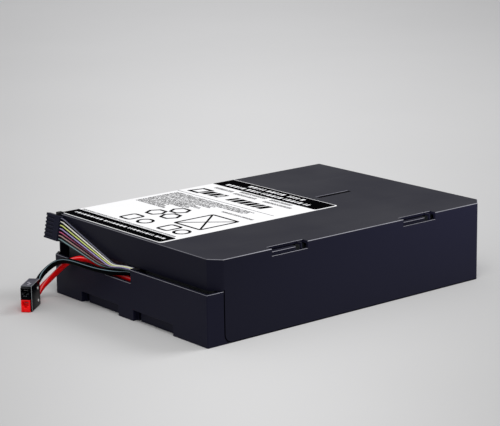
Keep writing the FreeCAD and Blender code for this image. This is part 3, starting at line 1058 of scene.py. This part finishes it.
@dataclass
class HarnessConnector:
    """Slim ribbed housing that leans against the cover's front, with seven open cavities."""

    width: float = 21.2
    thick: float = 4.2
    tall: float = 22.6
    lean: float = 11.5
    centre: Point = (-114.8, -155.9, 58.6)
    rib_height: float = 0.75
    rib_start: float = 1.6
    rib_pitch: float = 3.4
    groove: float = 1.7
    grooves: int = 6
    collar: float = 8.0
    ways: int = 7
    way_pitch: float = 3.1
    way_half: float = 1.0
    way_rise: float = 0.9
    way_depth: float = 8.0

    def housing(self) -> Piece:
        """Raise the ribs and the collar from a thin core, then open the cavities.

        Returns:
            The housing in its place.
        """
        w, h = self.width / 2, self.tall / 2
        core = self.thick / 2 - self.rib_height
        lows = [-h + self.rib_start + self.rib_pitch * number for number in range(self.grooves)]
        ways = [self.way_pitch * (number - self.ways // 2) for number in range(self.ways)]

        def raised(centre: Vector, normal: Vector) -> bool:
            """Whether a flat face belongs to a rib or the collar."""
            in_groove = any(low < centre.z < low + self.groove for low in lows)
            return abs(normal.y) > SQUARE and not (in_groove and centre.x < w - self.collar)

        def cavity(centre: Vector, normal: Vector) -> bool:
            """Whether an end face closes a cavity."""
            near = any(abs(centre.z - way) < self.way_half for way in ways)
            return normal.x < -SQUARE and abs(centre.y) < self.way_rise and near

        piece = Bench.block("harness_connector", (-w, -core, -h), (w, core, h))
        with Bench.editing(piece):
            Bench.cut(Axis.Z, *lows, *(low + self.groove for low in lows))
            Bench.cut(Axis.X, w - self.collar)
            Bench.faces(raised)
            rise = {"value": self.rib_height * MM}
            bpy.ops.mesh.extrude_region_shrink_fatten(TRANSFORM_OT_shrink_fatten=rise)
            Bench.cut(Axis.Z, *(way + side for way in ways for side in (-self.way_half, self.way_half)))
            Bench.cut(Axis.Y, -self.way_rise, self.way_rise)
            Bench.faces(cavity)
            Bench.push(self.way_depth, 0.0, 0.0)
            Bench.outward()
        return Bench.moved(Bench.rounded(piece, width=0.12, segments=1), self.centre, -self.lean, "X")

    def build(self) -> list[Piece]:
        """Make the housing and dress it.

        Returns:
            The housing alone.
        """
        piece = self.housing()
        # its edge colour is a painted edge highlight
        MouldedPlastic("harness plastic", linear(28, 29, 44), 0.45, 1.1, specular=0.05, edge=0.35,
                       edge_highlight_colour=(0.12, 0.12, 0.15)).dress(piece)
        return [Bench.fit(piece, "connector_black", "harness_housing")]


@dataclass
class PowerConnector:
    """Two stacked poles, black over red, tied by an angle bracket with a cap and a cheek."""

    long: float = 26.5
    wide: float = 8.0
    tall: float = 11.0
    turn: float = 41.0
    rear: Point = (-90.0, -194.5, 0.0)
    mouth: Point = (2.8, 5.4, 9.6)  # half its width, its floor and its roof
    mouth_depth: float = 4.8
    key: Pair = (1.2, 3.4)  # half its width and its floor
    tongue_half: float = 2.3
    tongue_low: float = 7.2
    tongue_thick: float = 0.8
    tongue_run: Pair = (3.6, 7.4)  # its ends, behind the connector's front
    nose: Point = (0.82, 1.0, 0.4)  # how far the tongue's front end shrinks
    bracket: float = 1.6
    bracket_run: Pair = (1.5, 0.2)  # its ends, behind the front and ahead of the rear
    cap: float = 1.2
    cap_rim: float = 0.9
    cap_sink: float = 0.25
    cheek_foot: float = 0.5
    pad_half: Pair = (1.1, 0.6)
    pad_foot: float = 0.1
    pad_places: tuple[Pair, ...] = ((1.6, -20.5), (1.6, -16.6), (-0.6, -12.7))

    def placed(self, piece: Piece, width: float, segments: int) -> Piece:
        """Round a piece that was built along its own axis, turn it and move it to its place."""
        return Bench.moved(Bench.rounded(piece, width, segments), self.rear, self.turn, "Z")

    def pole(self, level: int, name: str) -> Piece:
        """One pole, with its keyed mouth pushed in from the front.

        Args:
            level: 0 for the lower pole, 1 for the upper one.
            name: the piece's name.

        Returns:
            The pole in its place.
        """
        low = self.tall * level
        half = self.wide / 2
        side, floor, roof = self.mouth
        key_side, key_floor = self.key

        def opening(centre: Vector, normal: Vector) -> bool:
            """Whether a front face lies in the mouth or its key slot."""
            reach = side if floor < centre.z - low < roof else key_side
            return normal.y < -SQUARE and abs(centre.x) < reach and key_floor < centre.z - low < roof

        piece = Bench.block(name, (-half, -self.long, low), (half, 0.0, low + self.tall))
        with Bench.editing(piece):
            Bench.cut(Axis.X, -side, -key_side, key_side, side)
            Bench.cut(Axis.Z, low + key_floor, low + floor, low + roof)
            Bench.faces(opening)
            Bench.push(0.0, self.mouth_depth, 0.0)
            Bench.outward()
        return self.placed(piece, width=0.35, segments=2)

    def contact(self, level: int, name: str) -> Piece:
        """Flat contact tongue, set back in the mouth, with a tapered nose.

        Args:
            level: 0 for the lower pole, 1 for the upper one.
            name: the piece's name.

        Returns:
            The tongue in its place.
        """
        low = self.tall * level + self.tongue_low
        front, back = (run - self.long for run in self.tongue_run)
        piece = Bench.block(name, (-self.tongue_half, front, low),
                            (self.tongue_half, back, low + self.tongue_thick))
        with Bench.editing(piece):
            Bench.faces(lambda centre, normal: normal.y < -SQUARE)
            bpy.ops.transform.resize(value=self.nose)
        return self.placed(piece, width=0.12, segments=1)

    def angle(self) -> Piece:
        """The bracket: a cap that runs over the top pole and a cheek down its side.

        Returns:
            The bracket in its place.
        """
        half = self.wide / 2
        top = 2 * self.tall
        ahead, behind = self.bracket_run
        piece = Bench.block("bracket_angle", (-half, ahead - self.long, top),
                            (half + self.bracket, -behind, top + self.cap))
        with Bench.editing(piece):
            Bench.cut(Axis.X, half)
            Bench.faces(lambda centre, normal: normal.z < -SQUARE and centre.x > half)
            Bench.push(0.0, 0.0, self.cheek_foot - top)
            Bench.faces(lambda centre, normal: normal.z > SQUARE and centre.x < half)
            bpy.ops.mesh.inset(thickness=self.cap_rim * MM, depth=-self.cap_sink * MM)
        return self.placed(piece, width=0.3, segments=2)

    def pads(self) -> Piece:
        """Three small raised pads on the cap.

        Returns:
            The pads in their place, as one piece.
        """
        top = 2 * self.tall + self.cap - self.cap_sink
        w, h = self.pad_half
        foot, head = top - self.pad_foot, top + self.cap_sink
        blocks = [Bench.block("pad", (x - w, y - h, foot), (x + w, y + h, head)) for x, y in self.pad_places]
        return self.placed(Bench.joined("bracket_pads", blocks), width=0.12, segments=1)

    def paint_bracket_light(self, angle: Piece) -> None:
        """Give the bracket's cap top a lighter copy of its plastic as painted light and its rounded edges a
        pale painted highlight, by the way they face.

        Args:
            angle: the bracket, which already has its first finish.
        """
        cap = MouldedPlastic("bracket top painted light", linear(60, 59, 72), 0.35, 1.1, specular=0.085)
        rim = MouldedPlastic("bracket painted edge highlight", linear(150, 156, 160), 0.35, 1.1)
        for finish in (cap, rim):
            angle.data.materials.append(finish.material())
        unturn = Matrix.Rotation(math.radians(-self.turn), 3, "Z")
        for face in angle.data.polygons:
            normal = unturn @ face.normal
            cheek_edge = normal.y < -0.25 and normal.x > 0.25 and abs(normal.z) < 0.3
            cap_edge = 0.2 < normal.z < 0.93 and (normal.y < -0.2 or normal.x > 0.2)
            face.material_index = 2 if cheek_edge or cap_edge else int(normal.z > SQUARE)

    def build(self) -> list[Piece]:
        """Make every piece and dress it.

        Returns:
            The pieces.
        """
        # the edge colours of these finishes are painted edge highlights
        black = MouldedPlastic("pole black", linear(4, 5, 7), 0.35, 1.1, specular=0.03, edge=0.9,
                               edge_highlight_colour=(0.6, 0.62, 0.66))
        red = MouldedPlastic("pole red", linear(255, 6, 10), 0.4, 1.0, specular=0.2, edge=0.5, streaks=0.05,
                             edge_highlight_colour=linear(255, 120, 120))
        cheek = MouldedPlastic("bracket plastic", linear(7, 8, 12), 0.3, 1.1, specular=0.03, edge=0.8,
                               edge_highlight_colour=(0.34, 0.36, 0.42))
        # silver darkened as painted shade for the contact's place deep in the mouth
        silver = PlatedMetal("contact dimmed as painted shade", (0.5, 0.5, 0.49), 0.3)
        pad = MouldedPlastic("pad plastic", linear(186, 184, 194), 0.4, 1.05)
        plan = (
            (self.pole(0, "pole_red"), red, "connector_red", "pole_housing_red"),
            (self.pole(1, "pole_black"), black, "connector_black", "pole_housing_black"),
            (self.contact(0, "tongue_red"), silver, "contact_silver", "contact_red"),
            (self.contact(1, "tongue_black"), silver, "contact_silver", "contact_black"),
            (angle := self.angle(), cheek, "bracket_plastic", "connector_bracket"),
            (self.pads(), pad, "bracket_plastic"))
        for piece, finish, *fitting in plan:
            finish.dress(piece)
            Bench.fit(piece, *fitting)
        self.paint_bracket_light(angle)
        return [piece for piece, *_ in plan]


# ---- printed sheet


@dataclass(frozen=True)
class MarkField:
    """A rectangle of the sheet filled with rows of small plain marks.

    A row is LANES cells high. Widths and heights are the sizes that a mark may have, in cells, and word is
    how many marks may stand together. Hollow is the share of marks that are outlines, ragged is how far a
    row may end early, and slant is how far the top leans to the right.
    """

    LANES = 5

    left: float
    right: float
    front: float
    back: float
    cell: float
    widths: tuple[int, ...]
    rows: int = 1
    heights: tuple[int, ...] = (5,)
    word: tuple[int, int] = (4, 8)
    hollow: float = 1.0
    ragged: float = 0.0
    slant: float = 0.0

    def pattern(self, draw: random.Random, columns: int) -> set[tuple[int, int]]:
        """Choose the cells that carry ink.

        Args:
            draw: the source of chance.
            columns: cells across the field.

        Returns:
            The inked cells, as column and lane.
        """
        inked = set()
        for row in range(self.rows):
            end = columns - int(draw.random() * self.ragged * columns)
            column = 0
            while column < end:
                for _ in range(draw.randint(*self.word)):
                    opened = draw.random() < self.hollow
                    width = draw.choice(self.widths)
                    height = draw.choice(self.heights)
                    if column + width > end:
                        column = end
                        break
                    inked |= {(column + across, row * self.LANES + along)
                              for across in range(width) for along in range(height)
                              if not (opened and 0 < across < width - 1 and 0 < along < height - 1)}
                    column += width + 1
                column += 1
        return inked


def fields(*places: Sides, **shared: object) -> tuple[MarkField, ...]:
    """Several fields of marks of one kind."""
    return tuple(MarkField(*sides, **shared) for sides in places)


@dataclass
class SheetPrint:
    """Plain generic print on the sheet: banners, rows of marks and outlined shapes."""

    SEED = 40

    film_top: float = 71.15
    layer: float = 0.035
    made: int = 0
    banners: tuple[Sides, ...] = ((-113.0, 35.2, 24.0, 49.2), (-113.0, 34.4, -147.4, -129.2))
    light_rows: tuple[MarkField, ...] = (
        *fields((-79.0, -26.0, 39.0, 44.2), (-22.0, 0.0, 39.0, 44.2), (-100.0, 20.0, 28.8, 34.0),
                cell=2.0, widths=(1, 2)),
        *fields((-105.5, 28.0, -138.9, -135.8), cell=1.8, widths=(1, 2), word=(5, 11)))
    grey_rows: tuple[MarkField, ...] = (
        *fields((-98.0, -70.0, 13.0, 17.4), (-66.0, -28.0, 18.2, 22.2), (-66.0, -34.0, 10.4, 14.4),
                (-22.0, 10.0, 17.6, 21.6), (-22.0, 18.0, 9.6, 13.6), cell=0.75, widths=(2, 3)),
        *fields((-16.0, 27.0, -42.6, -39.4), cell=0.7, widths=(2, 3)),
        *fields((-110.0, 30.0, -128.0, -125.4), cell=0.8, widths=(2, 3), word=(3, 9)))
    small_rows: tuple[MarkField, ...] = tuple(
        MarkField(*sides, cell=0.7, widths=(2, 3), rows=rows, heights=(3, 4), word=(3, 9), hollow=0.0,
                  ragged=ragged)
        for sides, rows, ragged in (
            ((-107.0, 8.0, -33.0, -22.0), 4, 0.06), ((-107.0, -30.0, -41.5, -33.6), 3, 0.1),
            ((-107.0, -36.0, -57.6, -42.2), 6, 0.25), ((-107.0, -62.0, -71.0, -58.0), 5, 0.3)))
    bold_rows: tuple[MarkField, ...] = (
        *fields((-107.0, -91.0, -12.0, 6.0), cell=3.2, widths=(5,), word=(1, 1), slant=4.0),
        *fields((-89.0, -58.0, -10.0, 3.0), (-52.0, 5.0, -10.0, 3.0), cell=1.9, widths=(3, 4), word=(9, 9),
                hollow=0.12, slant=3.0))
    picture: Sides = (-14.0, 25.0, -98.0, -53.0)
    picture_line: float = 2.6
    corner: float = 3.0
    cross_line: float = 2.0
    cross_inset: float = 1.5
    hexagons: Pair = (-44.5, -79.0)
    hexagon_reach: float = 12.4
    hexagon_radius: float = 10.6
    hexagon_line: float = 2.9
    small_line: float = 2.8
    small_corner: float = 4.0
    small_radius: float = 8.4
    small_boxes: tuple[Sides, ...] = ((-64.6, -47.4, -121.0, -101.5), (-9.1, 8.1, -121.0, -101.5))
    small_rings: tuple[Pair, ...] = ((-34.0, -112.5), (19.0, -112.5))
    rule: tuple[Pair, ...] = ((-113.0, -18.0), (28.0, -18.0))
    rule_line: float = 0.8

    def height(self, level: Level) -> float:
        """Height of an ink level in metres."""
        return (self.film_top + self.layer * level.value) * MM

    def flat(self, sides: Sides, level: Level, columns: int = 1, lanes: int = 1) -> Piece:
        """Add a flat grid primitive over a rectangle.

        Args:
            sides: its left, right, front and back.
            level: its ink level.
            columns: cells across.
            lanes: cells along.

        Returns:
            The new piece.
        """
        left, right, front, back = sides
        Bench.clear()
        middle = ((left + right) / 2 * MM, (front + back) / 2 * MM, self.height(level))
        bpy.ops.mesh.primitive_grid_add(x_subdivisions=columns, y_subdivisions=lanes, size=1.0,
                                        location=middle)
        return Bench.settled(((right - left) * MM, (back - front) * MM, 1.0))

    def marks(self, area: MarkField, level: Level) -> Piece:
        """Print one field of marks.

        Args:
            area: the field.
            level: its ink level.

        Returns:
            The marks as one piece.
        """
        columns = round((area.right - area.left) / area.cell)
        lanes = area.rows * area.LANES
        wide = (area.right - area.left) / columns
        tall = (area.back - area.front) / lanes
        self.made += 1
        inked = area.pattern(random.Random(self.SEED + self.made), columns)

        def bare(centre: Vector, normal: Vector) -> bool:
            """Whether a cell stays without ink."""
            place = (int((centre.x - area.left) / wide), int((centre.y - area.front) / tall))
            return place not in inked

        piece = self.flat((area.left, area.right, area.front, area.back), level, columns, lanes)
        with Bench.editing(piece):
            Bench.faces(bare)
            bpy.ops.mesh.delete(type="FACE")
            for lane in range(1, lanes + 1 if area.slant else 0):
                Bench.corners(lambda place: abs(place.y - area.front - tall * lane) < tall / 2)
                bpy.ops.transform.translate(value=(area.slant * MM * lane / lanes, 0.0, 0.0))
        return piece

    @staticmethod
    def round_corners(radius: float, test: Callable[[Vector], bool] = lambda place: True) -> None:
        """Round the corners whose place passes a test, or all of them."""
        Bench.corners(test)
        bpy.ops.mesh.bevel(offset=radius * MM, segments=6, affect="VERTICES", clamp_overlap=True)

    @staticmethod
    def hollow(line: float) -> None:
        """Inset the whole face and delete the middle.

        Args:
            line: how wide the rim is that stays.
        """
        bpy.context.tool_settings.mesh_select_mode = Bench.FACES_ONLY
        bpy.ops.mesh.select_all(action="SELECT")
        bpy.ops.mesh.inset(thickness=line * MM, depth=0.0)
        bpy.ops.mesh.delete(type="FACE")

    def banner(self, sides: Sides) -> Piece:
        """Print a solid band with a rounded right end.

        Args:
            sides: its left, right, front and back.

        Returns:
            The new piece.
        """
        piece = self.flat(sides, Level.FILM)
        with Bench.editing(piece):
            self.round_corners(self.corner, lambda place: place.x > sides[1] - self.corner)
        return piece

    def box_outline(self, sides: Sides, line: float, radius: float) -> Piece:
        """Print the outline of a rounded box.

        Args:
            sides: its left, right, front and back.
            line: its line's width.
            radius: its corners' radius.

        Returns:
            The new piece.
        """
        piece = self.flat(sides, Level.FILM)
        with Bench.editing(piece):
            self.round_corners(radius)
            self.hollow(line)
        return piece

    def ring(self, x: float, y: float, radius: float, line: float, sides: int = 32,
             turn: float = 0.0) -> Piece:
        """Print a ring, or a plain polygon's outline.

        Args:
            x, y: its middle.
            radius: its outer radius.
            line: its line's width.
            sides: how many sides it has.
            turn: how far it is turned, in radians.

        Returns:
            The new piece.
        """
        Bench.clear()
        bpy.ops.mesh.primitive_circle_add(vertices=sides, radius=radius * MM, fill_type="NGON",
                                          location=(x * MM, y * MM, self.height(Level.FILM)),
                                          rotation=(0.0, 0.0, turn))
        piece = Bench.settled()
        with Bench.editing(piece):
            self.hollow(line)
        return piece

    def stroke(self, start: Pair, end: Pair, line: float, level: Level = Level.FILM) -> Piece:
        """Print one straight stroke.

        Args:
            start: where it starts.
            end: where it ends.
            line: its width.
            level: its ink level.

        Returns:
            The new piece.
        """
        run = Vector(end) - Vector(start)
        middle = (Vector(end) + Vector(start)) / 2
        Bench.clear()
        place = (middle.x * MM, middle.y * MM, self.height(level))
        turn = (0.0, 0.0, math.atan2(run.y, run.x))
        bpy.ops.mesh.primitive_plane_add(size=1.0, location=place, rotation=turn)
        return Bench.settled((run.length * MM, line * MM, 1.0))

    def shapes(self) -> list[Piece]:
        """Print the two large plain figures and the four small ones.

        Returns:
            The figures' parts.
        """
        pieces = []
        for number in range(3):
            turn = math.radians(90.0 + 120.0 * number)
            place = Vector(self.hexagons) + Vector((math.cos(turn), math.sin(turn))) * self.hexagon_reach
            pieces.append(self.ring(*place, self.hexagon_radius, self.hexagon_line, 6, turn))
        pieces.append(self.box_outline(self.picture, self.picture_line, self.corner))
        inwards = (self.cross_inset, -self.cross_inset) * 2
        left, right, front, back = (side + step for side, step in zip(self.picture, inwards))
        pieces.append(self.stroke((left, back), (right, front), self.cross_line, Level.OVERPRINT))
        pieces.append(self.stroke((left, front), (right, back), self.cross_line, Level.OVERPRINT))
        pieces += [self.box_outline(sides, self.small_line, self.small_corner) for sides in self.small_boxes]
        pieces += [self.ring(*place, self.small_radius, self.small_line) for place in self.small_rings]
        return pieces

    def build(self) -> list[Piece]:
        """Print everything and dress it.

        Returns:
            The groups of print.
        """
        black = PrintedFilm("ink black", linear(6, 6, 7), roughness=0.6, uneven=1.3, specular=0.0)
        white = replace(black, name="ink white", colour=linear(240, 240, 242), uneven=0.97)
        grey = replace(black, name="ink grey", colour=linear(26, 26, 30), uneven=1.15)
        rule = self.stroke(*self.rule, self.rule_line)
        groups = (
            ("print_banners", black, [self.banner(sides) for sides in self.banners]),
            ("print_light_rows", white, [self.marks(area, Level.OVERPRINT) for area in self.light_rows]),
            ("print_grey_rows", grey, [self.marks(area, Level.FILM) for area in self.grey_rows]),
            ("print_small_rows", grey, [self.marks(area, Level.FILM) for area in self.small_rows] + [rule]),
            ("print_bold_row", black, [self.marks(area, Level.FILM) for area in self.bold_rows]),
            ("print_shapes", black, self.shapes()))
        made = []
        for name, ink, pieces in groups:
            made.append(Bench.fit(Bench.joined(name, pieces), "label_print"))
            ink.dress(made[-1])
        return made


# ---- case


@dataclass
class Case:
    """The cover and the tray, with the noses of the snap hooks, painted shade and a painted highlight at the
    slot, and a painted shadow strip along the seam and the floor edge.
    """

    half: float = 114.0
    top: float = 71.0
    side_front: float = -142.5
    side_back: float = 149.0
    band_top: float = 45.6
    foot_radius: float = 8.0
    hook_run: float = 3.3
    hook_rise: float = 2.7
    hook_span: Pair = (65.0, 68.3)
    hooks: tuple[Pair, ...] = ((-91.6, -66.0), (57.4, 83.0))
    nose_reach: Pair = (3.6, 0.28)
    slot_run: Pair = (58.4, 98.0)
    line: float = 0.75
    line_sunk: float = 0.4
    line_proud: float = 0.03

    def noses(self) -> Piece:
        """Upright noses in front of the four sloped hooks.

        Returns:
            The noses as one piece.
        """
        low, high = self.hook_span
        pieces = []
        for start, end in self.hooks:
            for side in (-1, 1):
                inner, outer = sorted(side * (self.half - reach) for reach in self.nose_reach)
                pieces.append(Bench.block("nose", (inner, start, low), (outer, end, high)))
        return Bench.rounded(Bench.joined("hook_noses", pieces), 0.4, 3)

    def slot_bars(self) -> list[Piece]:
        """Painted shade over the slot in the cover's top, wider than the slot, and a fine raised pale bar
        along one side of it as a painted highlight.

        Returns:
            The shade bar and the highlight bar.
        """
        front, back = self.slot_run
        bars = []
        for name, left, right, foot, head, width, segments in (
                ("slot_shade_bar", -3.0, 1.8, -0.3, 0.03, 0.02, 1),
                ("slot_highlight_bar", -4.0, -3.0, -0.2, 0.12, 0.1, 2)):
            bar = Bench.block(name, (left, front, self.top + foot), (right, back, self.top + head))
            bars.append(Bench.rounded(bar, width, segments))
        return bars

    def painted_seam_shadow(self) -> Piece:
        """Painted shade: a dark strip down the seam at the tray's corner, round the side wall's foot, and on
        along the floor edge as a painted contact shadow.

        Returns:
            The gap's piece.
        """
        radius = self.foot_radius
        line = Bench.block("painted_seam_shadow", (self.half - self.line_sunk, self.side_front, radius),
                           (self.half + self.line_proud, self.side_front + self.line, self.band_top))
        centre = (self.half * MM, (self.side_front + radius) * MM, radius * MM)
        with Bench.editing(line):
            Bench.faces(lambda centre, normal: normal.z < -SQUARE)
            bpy.ops.mesh.spin(steps=10, angle=math.radians(90.0), center=centre, axis=(-1.0, 0.0, 0.0))
            Bench.push(0.0, self.side_back - self.side_front - radius, 0.0)
            bpy.ops.mesh.select_all(action="SELECT")
            bpy.ops.mesh.remove_doubles(threshold=0.000001)
            Bench.outward()
        return line

    def build(self) -> list[Piece]:
        """Dress both mouldings and add the small pieces; the painted edge highlight leaves out the hooks'
        slopes.

        Returns:
            The small pieces.
        """
        slope = self.hook_run / math.hypot(self.hook_run, self.hook_rise)
        # The cover gets a painted edge highlight and painted light towards its rear end and top; the tray
        # gets the painted edge highlight only.
        cover = MouldedPlastic("cover plastic", linear(21, 21, 35), 0.42, 1.06, depth=0.18, dust=0.01,
                               streaks=0.04, specular=0.085, edge=0.9, edge_highlight_colour=(0.6, 0.6, 0.66),
                               dull_slope=slope, front_edge=0.35, painted_rear_light=3.0)
        tray = replace(cover, name="tray plastic", colour=linear(21, 21, 38), roughness=0.45, front_edge=0.7,
                       painted_rear_light=1.0)
        # near-black for the painted shade strips at the slot and the seam
        shade = MouldedPlastic("gap shade", linear(4, 4, 7), 0.8, specular=0.0)
        # pale colour of the painted highlight bar by the slot
        pale = MouldedPlastic("painted slot highlight", linear(120, 120, 130), 0.5, specular=0.1)
        cover.dress(frame["nodes"]["top_cover"])
        tray.dress(frame["nodes"]["bottom_tray"])
        pieces = [self.noses(), *self.slot_bars(), self.painted_seam_shadow()]
        slots = ("tray_plastic", "case_plastic", "case_plastic", "case_plastic")
        for piece, finish, slot in zip(pieces, (tray, shade, pale, shade), slots):
            finish.dress(piece)
            Bench.fit(piece, slot)
        return pieces


def dress_nodes() -> None:
    """Give every CAD node that stays visible its procedural finish."""
    finishes: dict[str, Finish] = {
        "battery_case": MouldedPlastic("block case", linear(58, 61, 64), 0.5),
        "terminal_tin": PlatedMetal("tinned tab", (0.72, 0.7, 0.66)),
        "receptacle_cover": MouldedPlastic("clear nylon", linear(205, 200, 185), 0.3),
        "foam": ClosedFoam("foam strip", linear(60, 60, 62)),
        "lead_black": WireSleeve("inner lead black", linear(24, 25, 28)),
        "lead_red": WireSleeve("inner lead red", linear(190, 20, 28)),
        "loom_grey": WireSleeve("loom sleeve", linear(70, 70, 74), 0.5),
        "fuse_body": MouldedPlastic("fuse body", linear(190, 120, 30), 0.25),
        "clamp_plastic": MouldedPlastic("clamp plastic", linear(9, 9, 13), 0.6, specular=0.05),
        "connector_black": MouldedPlastic("connector black", linear(9, 10, 14), 0.4, specular=0.2),
        "connector_red": MouldedPlastic("connector red", linear(206, 20, 30), 0.36, 1.1),
        "bracket_plastic": MouldedPlastic("bracket plastic", linear(40, 41, 46), 0.3),
        "contact_silver": PlatedMetal("silvered contact", (0.86, 0.85, 0.82), 0.2),
        "pin_steel": MouldedPlastic("pale pin", linear(214, 214, 212), 0.35),
        "label_print": PrintedFilm("label film", linear(253, 253, 254), 0.45, 0.985),
    }
    slots = {entry["node"]: entry["material_slot"] for entry in frame["record"]["subparts"]}
    for name, node in frame["nodes"].items():
        if slots[name] in finishes:
            finishes[slots[name]].dress(node)


def main() -> None:
    """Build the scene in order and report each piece."""
    logging.basicConfig(level=logging.INFO, format="%(message)s")
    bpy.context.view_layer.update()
    Stage().build()
    dress_nodes()
    nodes = frame["nodes"]
    power = PowerConnector().build()
    sense = HarnessConnector().build()
    made = power + sense
    made += PowerLeads().build(power + [nodes["bracket_pins"]])
    made += SenseWires().build(sense + [nodes["harness_contacts"], nodes["harness_retainer"]])
    made += Case().build()
    made += SheetPrint().build()
    for piece in made:
        LOG.info("%s: %s on %s", piece.name, piece.type.lower(), BODY)


if __name__ == "__main__":
    main()
